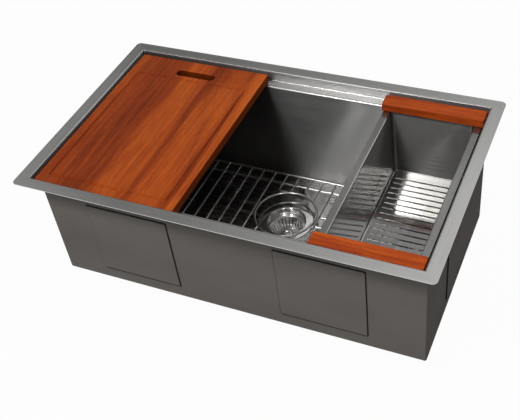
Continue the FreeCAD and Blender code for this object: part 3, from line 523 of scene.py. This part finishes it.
# ------------------------------------------------------------------ sound pads
# Square rubber pads glued to every large panel, then sprayed over with the same coating, so only
# their softened outlines show.
class Recipe(Tree):
    """A recipe for geometry, with named inputs."""
    family = "GeometryNode"

    def __init__(self, name, **inputs):
        self.tree = bpy.data.node_groups.new(name, "GeometryNodeTree")
        face = self.tree.interface
        for way in ("INPUT", "OUTPUT"):
            face.new_socket("Geometry", in_out=way, socket_type="NodeSocketGeometry")
        self.sockets = {key: face.new_socket(key, in_out="INPUT", socket_type="NodeSocket" + kind)
                        for key, kind in inputs.items()}
        outputs = self.tree.nodes.new("NodeGroupInput").outputs
        self.inputs = {key: Value(self, outputs[key]) for key in ("Geometry", *inputs)}

    def done(self, geometry):
        """Ends the tree in real geometry with its material."""
        real = self.node("RealizeInstances", {}, {0: geometry})
        finished = self.node("SetMaterial", {}, {0: real, "Material": self.inputs["Finish"]})
        self.node("NodeGroupOutput", {}, {0: finished})

    def use(self, piece, name, **values):
        """Runs the tree on a piece and returns the plain mesh."""
        modifier = piece.modifiers.new("recipe", "NODES")
        modifier.node_group = self.tree
        for key, value in values.items():
            modifier[self.sockets[key].identifier] = value
        piece.name = name
        return baked(piece)


scatter = Recipe("scatter", Piece="Object", Finish="Material")
copied = scatter.node("ObjectInfo", {}, {"Object": scatter.inputs["Piece"]}, out="Geometry")
facing_out = scatter.node("InputNamedAttribute", dict(data_type="FLOAT_VECTOR"), {"Name": "facing"})
turned_out = scatter.node("FunctionNodeAlignRotationToVector", dict(axis="Z"), {"Vector": facing_out})
scatter.done(scatter.node("InstanceOnPoints", {}, {
    "Points": scatter.inputs["Geometry"], "Instance": copied, "Rotation": turned_out}))


def scattered(name, master, material, spots):
    """Copies of a master piece at spots, each a place and the direction that its top faces."""
    mesh = bpy.data.meshes.new(name)
    mesh.from_pydata([place for place, _ in spots], [], [])
    mesh.attributes.new("facing", "FLOAT_VECTOR", "POINT")
    for value, (_, direction) in zip(mesh.attributes["facing"].data, spots):
        value.vector = direction
    made = scatter.use(link(name, mesh), name, Piece=master, Finish=material)
    bpy.data.objects.remove(master)
    return made


def ring_of(shape, low, high, inset, corner, z, steps=5):
    """A closed row of points: a rounded rectangle drawn in by an inset."""
    flat = rounded_loop((low[0] + inset, low[1] + inset), (high[0] - inset, high[1] - inset),
                        max(corner - inset, 0.0002), steps)
    return [shape.verts.new((x, y, z)) for x, y in flat]


QUARTER = [math.radians(angle) for angle in (0, 22.5, 45, 67.5, 90)]


def eased(shape, low, high, top, bottom, corner, ease, steps=5):
    """The sides of a block with rounded edges above and below; those of a hole if ease is negative."""
    rows = []
    for z, way in ((top, 1), (bottom, -1)):
        for angle in QUARTER[::way]:
            drop = abs(ease) * (1 - math.cos(angle))
            rows.append(ring_of(shape, low, high, ease * (1 - math.sin(angle)), corner,
                                z - way * drop, steps))
    skin(shape, rows)
    return rows


def slab(name, *blocks):
    """Blocks, each given by its low and high corners and its radii at corners and at edges."""
    shape = bmesh.new()
    for low, high, corner, edge in blocks:
        rows = eased(shape, low, high, high[2], low[2], corner, edge)
        shape.faces.new(rows[0])
        shape.faces.new(rows[-1][::-1])
    face_out(shape)
    return meshed(name, shape)


PAD_NODES = ["pad_%s_%s" % (panel, side)
             for panel in ("front", "back", "end", "floor") for side in ("left", "right")]
PAD_SIDE, PAD_THICK, PAD_CORNER, PAD_EDGE, PAD_SUNK = 0.178, 0.0025, 0.003, 0.0011, 0.0002
# a thin dark brim on the wall all round each pad is painted shade: it stands for the shadow line round the
# pad's edge
SHADE_BRIM_WIDE, SHADE_BRIM_HIGH, SHADE_BRIM_CORNER, SHADE_BRIM_EDGE = 0.0013, 0.0003, 0.0042, 0.0002
EDGE_SHADE_FROM = 0.00012  # painted shade darkens the pad from this far down its rounded edge
DIRECTIONS = {"front": (0, -1, 0), "back": (0, 1, 0), "end_left": (-1, 0, 0), "end_right": (1, 0, 0),
              "floor": (0, 0, -1)}
spots = []
for node in PAD_NODES:
    low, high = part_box(node)
    direction = Vector(next(DIRECTIONS[key] for key in DIRECTIONS if key in node))
    spots.append(((low + high) / 2 - direction * PAD_THICK / 2, direction))
half = PAD_SIDE / 2
shade_brim = half + SHADE_BRIM_WIDE
pad = smooth(slab("pad", ((-half, -half, -PAD_SUNK), (half, half, PAD_THICK), PAD_CORNER, PAD_EDGE),
                  ((-shade_brim, -shade_brim, -PAD_SUNK), (shade_brim, shade_brim, SHADE_BRIM_HIGH), SHADE_BRIM_CORNER, SHADE_BRIM_EDGE)))
# painted shade: the pad's sides and the brim are marked so that their finish darkens them
edge = pad.data.attributes.new("edge", "FLOAT", "POINT")
for value, point in zip(edge.data, pad.data.vertices):
    value.value = min(1.0, max(0.0, PAD_THICK - point.co.z) / EDGE_SHADE_FROM)
# the pads' finish carries the painted shade on their edges and the painted shadow line below them
pad_coating = sprayed("pad_coating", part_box("pad_front_left")[0].z)
pads = scattered("sound_pads", pad, pad_coating, spots)
fixed(smooth(pads), "sink", "undercoat", *PAD_NODES)


# ------------------------------------------------------------------ drain
# A pressed and spun stainless cup with a wide flange in the bowl's seat, sealed below by a rubber
# gasket, a fibre washer and a plated lock nut, with a threaded outlet for the tailpiece.
def softened(outline, radius, steps=4, closed=True):
    """A turned outline of (radius, height) points, with its corners rounded."""
    flat = []
    count = len(outline)
    for index, corner in enumerate(outline):
        corner = Vector(corner)
        if not closed and index in (0, count - 1):
            flat.append(corner)
            continue
        before = Vector(outline[index - 1]) - corner
        after = Vector(outline[(index + 1) % count]) - corner
        turn = before.angle(after)
        if turn > math.radians(172):
            flat.append(corner)
            continue
        back = min(radius / math.tan(turn / 2), before.length * 0.45, after.length * 0.45)
        first, last = corner + before.normalized() * back, corner + after.normalized() * back
        for step in range(steps + 1):
            t = step / steps
            flat.append((1 - t) ** 2 * first + 2 * t * (1 - t) * corner + t ** 2 * last)
    return flat


def turned(name, outline, soft, centre, steps=96, closed=True):
    """A turned piece: its outline, with softened corners, swept round an upright axis."""
    shape = bmesh.new()
    rows = []
    for radius, height in softened(outline, *soft, closed):
        ring = arc(centre[0], centre[1], radius, 0, 360, steps)[:-1]
        rows.append([shape.verts.new((x, y, centre[2] + height)) for x, y in ring])
    skin(shape, rows, closed)
    bmesh.ops.remove_doubles(shape, verts=shape.verts, dist=1e-6)
    face_out(shape)
    return meshed(name, shape)


def spun(name, tone, rough, rings=2600.0, haze=0.18):
    """Turned and polished steel: fine rings about the drain's axis."""
    finish = Finish(name)
    moved = finish.place(centre=(0.0, drain_y, 0.0))
    px, py, pz = finish.axes(moved)
    away = (px * px + py * py) ** 0.5
    ring_place = finish.node("CombineXYZ", {}, {0: away, 1: pz, 2: px * 0.02})
    ring = finish.noise(ring_place, rings, 2.0, 0.6)
    cloud = finish.noise(moved, 60.0, 3.0)
    colour = finish.ramp(ring * 0.5 + cloud * 0.5, (0.3, toned(tone, 0.7)), (0.65, tone))
    return finish.done(finish.hazed(
        haze, 0.45, Base_Color=colour, Metallic=1.0, Normal=finish.bump(ring, 0.000008, 0.5),
        Roughness=rough + (ring - 0.5) * 0.10 + (cloud - 0.5) * 0.06, Anisotropic=0.5))


cup_steel = spun("spun_steel", (0.82, 0.81, 0.795), 0.12)
seat_z = floor_top - seat_drop
THREAD_TOP, THREAD_TURNS, THREAD_PITCH = -0.0560, 8, 0.0022
OUTLET, THREAD_ROOT = 0.0237, 0.0228
cup = [(0.0430, 0.0016), (0.0588, 0.0016), (0.0595, 0.0008), (0.0595, 0.0), (0.0437, 0.0),
       (0.0437, -0.0183), (0.0379, -0.0197), (0.0324, -0.0538), (OUTLET, -0.0538)]
for turn in range(THREAD_TURNS):
    crest = THREAD_TOP - turn * THREAD_PITCH
    cup += [(OUTLET, crest), (THREAD_ROOT, crest - THREAD_PITCH * 0.5)]
cup += [(OUTLET, -0.0764), (0.0190, -0.0764), (0.0190, -0.0524), (0.0310, -0.0524),
        (0.0365, -0.0183), (0.0365, -0.0169), (0.0416, -0.0169), (0.0416, 0.0002)]
drain = turned("drain_cup", cup, (0.0024, 5), (0.0, drain_y, seat_z))
fixed(smooth(drain, 50, cup_steel), "sink", "drain_steel", "drain_body")


def mottled(name, dull, pale, patches, rough, uneven, relief, grit=None, metal=0.0, stretch=(1, 1, 1)):
    """A plain finish, mottled in its colour and roughness, with the same or a finer grit in relief."""
    finish = Finish(name)
    patch = finish.noise(finish.place(stretch=stretch), *patches)
    bits = finish.noise(finish.place(stretch=stretch), *(grit or patches))
    return finish.done(finish.surface(
        Base_Color=finish.ramp(patch, (0.3, dull), (0.7, pale)), Metallic=metal,
        Roughness=rough + (patch - 0.5) * uneven, Normal=finish.bump(bits, *relief)))


rubber = mottled("black_rubber", (0.012, 0.012, 0.012), (0.026, 0.026, 0.025), (60.0, 3.0),
                 0.55, 0.3, (0.00005, 0.4), grit=(900.0, 3.0))
fibre = mottled("pressed_fibre", (0.30, 0.20, 0.11), (0.50, 0.37, 0.23), (420.0, 5.0, 0.65, 0.8),
                0.9, 0.0, (0.0002, 0.6), stretch=(1, 1, 4))
plated = mottled("plated_nut", (0.36, 0.35, 0.33), (0.50, 0.49, 0.47), (260.0, 4.0),
                 0.36, 0.2, (0.00008, 0.5), metal=1.0)


def finish_node(node, material):
    """Gives a CAD node that stays visible its material."""
    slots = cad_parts[node].data.materials
    if not slots:
        slots.append(material)
    for index in range(len(slots)):
        slots[index] = material


finish_node("drain_gasket", rubber)
finish_node("drain_washer", fibre)
finish_node("drain_locknut", plated)


# ------------------------------------------------------------------ strainer
# A basket pressed from thin sheet with radial slots, and through its bushing a post with a turned
# knob on top and a rubber stopper disc below.
repeat = Recipe("repeat", Count="Int", Centre="Vector", Step="Vector", Turn="Float", Finish="Material")
index = repeat.node("InputIndex")
offset = repeat.node("ShaderNodeVectorMath", dict(operation="SCALE"), {
    0: repeat.inputs["Step"], "Scale": index})
where = repeat.node("ShaderNodeVectorMath", dict(operation="ADD"), {
    0: repeat.inputs["Centre"], 1: offset})
upright = repeat.node("ShaderNodeCombineXYZ", {}, {"Z": repeat.inputs["Turn"] * index})
spin = repeat.node("FunctionNodeEulerToRotation", {}, {0: upright})
places = repeat.node("Points", {}, {"Count": repeat.inputs["Count"]})
copies = repeat.node("InstanceOnPoints", {}, {
    "Points": places, "Instance": repeat.inputs["Geometry"], "Rotation": spin})
moved = repeat.node("TranslateInstances", {}, {
    "Instances": copies, "Translation": where, "Local Space": False})
real = repeat.node("RealizeInstances", {}, {0: moved})
repeat.done(repeat.node("MergeByDistance", {}, {"Geometry": real, "Distance": 0.00002}))

BASKET_SLOTS, BASKET_DEEP = 24, 0.0200
SECTOR = 2 * math.pi / BASKET_SLOTS
basket_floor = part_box("strainer_basket")[1].z - BASKET_DEEP
slot_inner, slot_top, slot_half = 0.0090, 0.0170, 0.0010


def finely(line, longest):
    """The same line with its long runs divided."""
    points = [line[0]]
    for first, last in zip(line, line[1:]):
        parts = max(1, math.ceil((last - first).length / longest))
        points += [first.lerp(last, part / parts) for part in range(1, parts + 1)]
    return points


def build_sector():
    """One slot's share of the basket: floor, rounded bend, wall and rim, with its slot left open."""
    shape = bmesh.new()
    profile = finely(softened([(0.0056, 0.0), (0.0270, 0.0), (0.0343, BASKET_DEEP), (0.0398, BASKET_DEEP)],
                              0.0030, 6, False), 0.0007)
    rows = []
    for radius, height in profile:
        past = min(radius - slot_inner, slot_top - height)
        round_end = min(1.0, max(0.0, past) / slot_half)
        half = slot_half * math.sqrt(1 - (1 - round_end) ** 2)
        slit = math.asin(max(half, 0.0002) / radius)
        angles = (-SECTOR / 2, -(SECTOR / 2 + slit) / 2, -slit, slit, (SECTOR / 2 + slit) / 2, SECTOR / 2)
        rows.append((past > 0, [shape.verts.new((radius * math.cos(a), radius * math.sin(a), height))
                                for a in angles]))
    for (open_here, upper), (open_next, lower) in zip(rows, rows[1:]):
        for step in range(5):
            if step != 2 or not (open_here and open_next):
                shape.faces.new([upper[step], lower[step], lower[step + 1], upper[step + 1]])
    face_out(shape, shape.faces)
    return meshed("basket_sector", shape)


basket_steel = spun("basket_steel", (0.92, 0.91, 0.895), 0.24, haze=0.45)
at_floor = (0.0, drain_y, basket_floor)
basket = repeat.use(build_sector(), "strainer_basket_sheet", Count=BASKET_SLOTS, Centre=at_floor,
                    Step=(0.0, 0.0, 0.0), Turn=SECTOR, Finish=basket_steel)
modify(basket, "SOLIDIFY", thickness=0.0010, offset=-1.0)
fixed(smooth(baked(basket), 35), "strainer", "drain_steel", "strainer_basket")
sleeve = [(0.00358, -0.0010), (0.0056, -0.0010), (0.0056, 0.0050), (0.00358, 0.0050)]
bushing = turned("strainer_bushing", sleeve, (0.0004, 2), at_floor, 40)
fixed(smooth(bushing, 50, basket_steel), "strainer", "drain_steel", "strainer_basket")

polish = spun("polished_steel", (0.88, 0.87, 0.86), 0.12, 1500.0, 0.4)
post_z, knob_z, disc_z = [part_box("strainer_" + part)[0].z for part in ("post", "knob", "stopper")]
stem = [(0.0, 0.0), (0.0025, 0.0), (0.0035, 0.0018), (0.0035, knob_z - post_z + 0.001)]
post = turned("stopper_post", stem, (0.0006, 3), (0.0, drain_y, post_z), 40, False)
fixed(smooth(post, material=polish), "stopper", "polished_steel", "strainer_post")
handle_shape = [(0.0034, 0.0), (0.0044, 0.0), (0.0044, 0.0026), (0.0080, 0.0050), (0.0080, 0.0072),
                (0.0058, 0.0090), (0.0, 0.0090)]
knob = turned("stopper_knob", handle_shape, (0.0012, 5), (0.0, drain_y, knob_z), 64, False)
fixed(smooth(knob, 60, polish), "stopper", "polished_steel", "strainer_knob")
disc_shape = [(0.0034, 0.0), (0.0256, 0.0), (0.0270, 0.0013), (0.0270, 0.0040), (0.0262, 0.0040),
              (0.0240, 0.0032), (0.0070, 0.0032), (0.0060, 0.0040), (0.0034, 0.0040)]
disc = turned("stopper_disc", disc_shape, (0.0005, 3), (0.0, drain_y, disc_z), 72)
fixed(smooth(disc, material=rubber), "stopper", "rubber", "strainer_stopper")


# ------------------------------------------------------------------ bottom grid
# Polished steel wire: a heavy frame, two cross wires, a ring round the drain and its stubs, with
# lighter long wires welded on top, standing on six rubber feet.
wirework = Recipe("wirework", Radius="Float", Bend="Float", Finish="Material")
line = wirework.node("MeshToCurve", {}, {0: wirework.inputs["Geometry"]})
rounded = wirework.node("FilletCurve", dict(mode="POLY"), {
    "Curve": line, "Count": 6, "Radius": wirework.inputs["Bend"], "Limit Radius": True})
section = wirework.node("CurvePrimitiveCircle", {}, {
    "Resolution": 12, "Radius": wirework.inputs["Radius"]})
wirework.done(wirework.node("CurveToMesh", {}, {
    "Curve": rounded, "Profile Curve": section, "Fill Caps": True}))

wire_steel = Finish("wire_steel")
drawn = wire_steel.noise(wire_steel.place(), 380.0, 3.0, 0.6)
cloud = wire_steel.noise(wire_steel.place(), 22.0, 3.0)
colour = wire_steel.ramp(drawn * 0.4 + cloud * 0.6,
                         (0.3, (0.60, 0.595, 0.58)), (0.7, (0.82, 0.81, 0.795)))
wire_steel.done(wire_steel.hazed(
    0.5, 0.42, Base_Color=colour, Metallic=1.0, Roughness=0.13 + drawn * 0.10,
    Normal=wire_steel.bump(drawn, 0.00002, 0.4)))


def wires(name, radius, bend, *paths):
    """Round wire along paths; a path that ends where it starts is a closed loop."""
    points, edges = [], []
    for path in paths:
        closed = path[0] == path[-1]
        start = len(points)
        kept = path[:-1] if closed else path
        points += kept
        edges += [(start + i, start + i + 1) for i in range(len(kept) - 1)]
        if closed:
            edges.append((start + len(kept) - 1, start))
    mesh = bpy.data.meshes.new(name)
    mesh.from_pydata(points, edges, [])
    made = wirework.use(link(name, mesh), name, Radius=radius, Bend=bend, Finish=wire_steel.data)
    return smooth(made, 60)


LONG_Z, CROSS_Z = -0.251, -0.255
LONG_END, CROSS_Y, CROSS_END = 0.1825, 0.158, 0.37295
WIRE_PITCH, WIRES_EACH_SIDE = 0.0295, 13
LIGHT_WIRE, LIGHT_BEND, HEAVY_WIRE, HEAVY_BEND = 0.002, 0.004, 0.0025, 0.014
RING_RADIUS, RING_STEPS = 0.068, 72
long_paths = []
for side in (-1, 1):
    for number in range(WIRES_EACH_SIDE):
        wire_x = side * (number + 0.5) * WIRE_PITCH
        if abs(wire_x) > RING_RADIUS:
            long_paths.append([(wire_x, -LONG_END, LONG_Z), (wire_x, LONG_END, LONG_Z)])
            continue
        reach_y = math.sqrt(RING_RADIUS ** 2 - wire_x ** 2)
        long_paths.append([(wire_x, -LONG_END, LONG_Z), (wire_x, drain_y - reach_y, LONG_Z)])
        if side > 0:
            # the wire right of the middle is bent to the right, where it meets the ring
            bend_y = drain_y + reach_y + (0.0105 if number == 0 else 0.0)
            bent = [(wire_x + 0.0215, drain_y + 0.0575, LONG_Z)] if number == 0 else []
            long_paths.append([(wire_x, LONG_END, LONG_Z), (wire_x, bend_y, LONG_Z)] + bent)
# behind the ring the two wires left of the middle are one, bent into a U that is welded to it
u_left, u_right, u_y = -1.5 * WIRE_PITCH, -0.5 * WIRE_PITCH, drain_y + 0.0665
long_paths.append([(u_left, LONG_END, LONG_Z), (u_left, u_y, LONG_Z),
                   (u_right, u_y, LONG_Z), (u_right, LONG_END, LONG_Z)])
fixed(wires("grid_long_wires", LIGHT_WIRE, LIGHT_BEND, *long_paths), "grid", "wire_steel",
      "grid_wires_left", "grid_wires_right", "grid_wires_front", "grid_wires_back")

FRAME_X, FRAME_Y = 0.3742, 0.1845
STUB_YS, STUB_START, STUB_END = (0.048, 0.078), 0.0655, 0.10525
loop = [(x * FRAME_X, y * FRAME_Y, LONG_Z) for x, y in CORNERS[-1:] + CORNERS]
ring = [(x, y, LONG_Z) for x, y in circle(RING_RADIUS, RING_STEPS)]
heavy_paths = [loop, ring + ring[:1]]
for side in (-1, 1):
    heavy_paths.append([(-CROSS_END, side * CROSS_Y, CROSS_Z), (CROSS_END, side * CROSS_Y, CROSS_Z)])
    for stub_y in STUB_YS:
        heavy_paths.append([(side * STUB_START, stub_y, CROSS_Z), (side * STUB_END, stub_y, CROSS_Z)])
fixed(wires("grid_heavy_wires", HEAVY_WIRE, HEAVY_BEND, *heavy_paths), "grid", "wire_steel",
      "grid_frame", "grid_ring", "grid_cross_front", "grid_cross_back",
      "grid_stubs_left", "grid_stubs_right")

FEET = ["grid_foot_%s_%s" % (row, column)
        for row in ("front", "back") for column in ("left", "middle", "right")]
foot_shape = [(0.0, 0.0), (0.0066, 0.0), (0.0078, 0.0016), (0.0072, 0.0080), (0.0080, 0.0110),
              (0.0080, 0.0150), (0.0064, 0.0180), (0.0, 0.0180)]
foot = turned("foot", foot_shape, (0.0008, 3), (0.0, 0.0, 0.0), 28, False)
spots = []
for node in FEET:
    low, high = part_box(node)
    spots.append((((low.x + high.x) / 2, (low.y + high.y) / 2, low.z), (0, 0, 1)))
feet = scattered("grid_feet", smooth(foot), rubber, spots)
fixed(smooth(feet, 50), "grid", "rubber", *FEET)


# ------------------------------------------------------------------ cutting board
# Red-brown hardwood staves glued side by side, planed and oiled, with a round-bottomed juice
# groove and a slot for the fingers, all edges eased.
def wood(name, along, low, wide, bands, dark, mid, bright, staves=6, hole=None, grain=1.0):
    """Oiled hardwood: straight interlocked grain and pores; bands set the tone from side to side.
    A hole, given by its centre, half sizes and top, gets painted shade: its wall is darkened."""
    finish = Finish(name)
    across = 0 if along == 1 else 1
    parts = finish.axes()
    side = (parts[across] - low) / wide
    number = finish.node("Math", dict(operation="FLOOR"), {0: side * staves})
    within = side * staves - number

    def drawn(share):
        """Coordinates drawn out along the grain."""
        return finish.place(stretch=tuple(share if axis == along else 1.0 for axis in range(3)))

    shifted = finish.node("VectorMath", dict(operation="ADD"), {
        0: drawn(0.05),
        1: finish.node("CombineXYZ", {}, {0: number * 0.37, 1: number * 0.91, 2: number * 0.53})})
    figure = finish.noise(shifted, 42.0, 4.0, 0.55, 1.2)
    streak = finish.noise(shifted, 150.0, 3.0, 0.6, 0.6)
    fine = finish.noise(shifted, 620.0, 3.0, 0.7)
    pores = finish.noise(drawn(0.12), 1100.0, 1.0, 0.5)
    ribbon = finish.noise(drawn(0.30), 14.0, 2.0, 0.5)
    wander = finish.noise(drawn(0.30), 7.0, 2.0)
    band = finish.ramp(side + (wander - 0.5) * 0.10, *[(place, (level,) * 3) for place, level in bands])
    tone = (band + (figure - 0.5) * 0.62 + (streak - 0.5) * (0.40 * grain)
            + (fine - 0.5) * (0.34 * grain) + (ribbon - 0.5) * 0.34)
    colour = finish.ramp(tone, (0.12, dark), (0.50, mid), (0.86, bright))
    open_pores = finish.limits(pores, 0.62, 0.70)
    colour = finish.mix(open_pores * 0.35, colour, toned(dark, 0.35))
    seam = finish.limits(abs(within - 0.5), 0.4945, 0.4990)
    colour = finish.mix(seam * 0.45, colour, toned(dark, 0.5))
    # painted shade on the wall inside the finger slot
    if hole:
        painted_hole_shade = ((abs(parts[0] - hole[0]) < hole[2]) * (abs(parts[1] - hole[1]) < hole[3])
                       * (parts[2] < hole[4]))
        colour = finish.mix(painted_hole_shade * 0.7, colour, toned(dark, 0.3))
    height = fine * 0.4 - open_pores - seam
    return finish.done(finish.surface(
        Base_Color=colour, Roughness=0.42 + (fine - 0.5) * 0.16 + open_pores * 0.2,
        Normal=finish.bump(height, 0.00005, 0.6), Specular_IOR_Level=0.08))


board_low, board_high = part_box("cutting_board")
board_wood = wood("board_wood", 1, board_low.x, board_high.x - board_low.x, (
    (0.0, 0.54), (0.10, 0.46), (0.24, 0.34), (0.36, 0.38), (0.44, 0.64), (0.58, 0.62), (0.655, 0.36),
    (0.70, 0.54), (0.86, 0.66), (0.925, 0.42), (0.96, 0.74)),
    (0.110, 0.012, 0.0024), (0.280, 0.043, 0.0046), (0.510, 0.100, 0.0100),
    hole=(-0.2335, 0.174, 0.0465, 0.0105, board_high.z - 0.0012), grain=1.35)
BOARD_CORNER, BOARD_EASE = 0.004, 0.0012
SLOT_LOW, SLOT_HIGH, SLOT_CORNER, SLOT_EASE = (-0.2785, 0.1645), (-0.1885, 0.1835), 0.0076, 0.0018
GROOVE_LOW, GROOVE_HIGH = (-0.363, -0.201), (-0.104, 0.151)
GROOVE_HALF, GROOVE_DEEP, GROOVE_BEND, LIP = 0.0030, 0.0026, 0.006, 0.0004


def fill(shape, *rows, edges=()):
    """Fills the flat between closed rows of points, and between any edges given besides."""
    edges = list(edges)
    for row in rows:
        edges += [shape.edges.get(pair) or shape.edges.new(pair) for pair in zip(row, row[1:] + row[:1])]
    bmesh.ops.triangle_fill(shape, use_beauty=True, use_dissolve=False, edges=edges)


def build_board():
    """The block with its eased edges, the slot for the fingers and the juice groove."""
    shape = bmesh.new()
    top, bottom = board_high.z, board_low.z
    outside = eased(shape, board_low, board_high, top, bottom, BOARD_CORNER, BOARD_EASE)
    slot = eased(shape, SLOT_LOW, SLOT_HIGH, top, bottom, SLOT_CORNER, -SLOT_EASE, 8)
    sweep = [(-GROOVE_HALF - LIP, 0.0), (-GROOVE_HALF - LIP * 0.4, -LIP * 0.2), (-GROOVE_HALF, -LIP)]
    for step in range(1, 8):
        angle = math.pi * step / 8
        sweep.append((-GROOVE_HALF * math.cos(angle), -LIP - (GROOVE_DEEP - LIP) * math.sin(angle)))
    sweep += [(-x, z) for x, z in sweep[2::-1]]
    groove = [ring_of(shape, GROOVE_LOW, GROOVE_HIGH, inset, GROOVE_BEND, top + drop)
              for inset, drop in sweep]
    skin(shape, groove)
    shape.faces.new(groove[-1])
    fill(shape, outside[0], slot[0], groove[0])
    fill(shape, outside[-1], slot[-1])
    face_out(shape)
    return meshed("board", shape)


fixed(smooth(build_board(), 50, board_wood), "board", "hardwood", "cutting_board")


# ------------------------------------------------------------------ colander
# A basket pressed from thin stainless sheet: a flat rim, sloping walls and a floor with rows of
# plain slots.  It hangs on the ledges by its two wooden handles, screwed on from below.
basket_low, basket_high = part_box("colander_basket")
THIN = 0.001
MOUTH_LOW, MOUTH_HIGH = (0.201, -0.1997), (0.371, 0.1943)
COLANDER_CORNER, CORNER_STEPS = 0.004, 6
MOUTH_CORNER, DRAW, FLOOR_BEND, RIM_BEND = 0.007, 0.0094, 0.003, 0.002
colander_top = basket_high.z
colander_floor = basket_low.z + THIN
SLOT_ROWS, SLOT_PITCH, FIRST_ROW = 21, 0.0156, -0.1531
SLOT_HALF, SLOT_WIDE, SLOT_END, BESIDE_SLOT = 0.067, 0.004, 0.0018, 0.003
TOUCHING = 1e-5
colander_x = (MOUTH_LOW[0] + MOUTH_HIGH[0]) / 2
field_x = SLOT_HALF + BESIDE_SLOT


def build_slot_strip():
    """One slot and the floor around it."""
    shape = bmesh.new()
    slot = ring_of(shape, (-SLOT_HALF, -SLOT_WIDE / 2), (SLOT_HALF, SLOT_WIDE / 2), 0.0, SLOT_END, 0.0)
    border = [shape.verts.new((x * field_x, y * SLOT_PITCH / 2, 0.0)) for x, y in CORNERS]
    fill(shape, slot, border)
    return meshed("slot_strip", shape)


# thin bright-rolled sheet: a clear reflection under a soft haze that is drawn out across the rolling
rolled = Finish("colander_steel")
colour, roughness, ripple = brushed(rolled, (0.33, 0.327, 0.319), 0.10,
                                    rolled.place(stretch=(1.0, 0.03, 1.0)), 700.0)
colander_steel = rolled.done(rolled.hazed(
    0.42, 0.5, dict(Anisotropic=0.85, Anisotropic_Rotation=0.25), Base_Color=colour, Metallic=1.0,
    Roughness=roughness, Normal=ripple))
strips = repeat.use(build_slot_strip(), "colander_sheet", Count=SLOT_ROWS,
                    Centre=(colander_x, FIRST_ROW, colander_floor), Step=(0.0, SLOT_PITCH, 0.0), Turn=0.0,
                    Finish=colander_steel)


def build_colander(strips):
    """The floor's strips joined to the rest of the floor, the walls and the rim."""
    shape = bmesh.new()
    shape.from_mesh(strips.data)
    block_low = FIRST_ROW - SLOT_PITCH / 2
    block_high = FIRST_ROW + (SLOT_ROWS - 0.5) * SLOT_PITCH

    def on_border(edge):
        middle = (edge.verts[0].co + edge.verts[1].co) / 2
        return (abs(middle.x - colander_x) > field_x - TOUCHING or abs(middle.y - block_low) < TOUCHING
                or abs(middle.y - block_high) < TOUCHING)

    border = [edge for edge in shape.edges if len(edge.link_faces) == 1 and on_border(edge)]
    rows = [ring_of(shape, basket_low, basket_high, 0.0, COLANDER_CORNER, colander_top, CORNER_STEPS)]
    for angle in QUARTER:
        rows.append(ring_of(shape, MOUTH_LOW, MOUTH_HIGH, -RIM_BEND * (1 - math.sin(angle)), MOUTH_CORNER,
                            colander_top - RIM_BEND * (1 - math.cos(angle)), CORNER_STEPS))
    for angle in QUARTER:
        inset = DRAW + FLOOR_BEND * (1 - math.cos(angle))
        rows.append(ring_of(shape, MOUTH_LOW, MOUTH_HIGH, inset, MOUTH_CORNER + DRAW,
                            colander_floor + FLOOR_BEND * (1 - math.sin(angle)), CORNER_STEPS))
    skin(shape, rows)
    fill(shape, rows[-1], edges=border)
    face_out(shape, [face for face in shape.faces
                     if face.calc_center_median().z < colander_floor + TOUCHING])
    for face in shape.faces:
        face.material_index = 0
    bpy.data.objects.remove(strips)
    return meshed("colander_shell", shape)


colander = build_colander(strips)
modify(colander, "SOLIDIFY", thickness=THIN, offset=-1.0, use_even_offset=True)
fixed(smooth(baked(colander), 40, colander_steel), "colander", "brushed_steel", "colander_basket")

handle_wood = wood("handle_wood", 0, -0.30, 0.60, ((0.0, 0.5), (1.0, 0.5)),
                   (0.175, 0.022, 0.004), (0.360, 0.052, 0.0070), (0.560, 0.105, 0.0130), 1, grain=2.4)
HANDLE_CORNER, HANDLE_EDGE = 0.0025, 0.0020
for row in ("front", "back"):
    low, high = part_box("colander_handle_" + row)
    handle = slab("handle_" + row, (low, high, HANDLE_CORNER, HANDLE_EDGE))
    fixed(smooth(handle, 50, handle_wood), "colander", "hardwood", "colander_handle_" + row)
    for column in ("left", "right"):
        finish_node("handle_screw_%s_%s" % (row, column), polish)
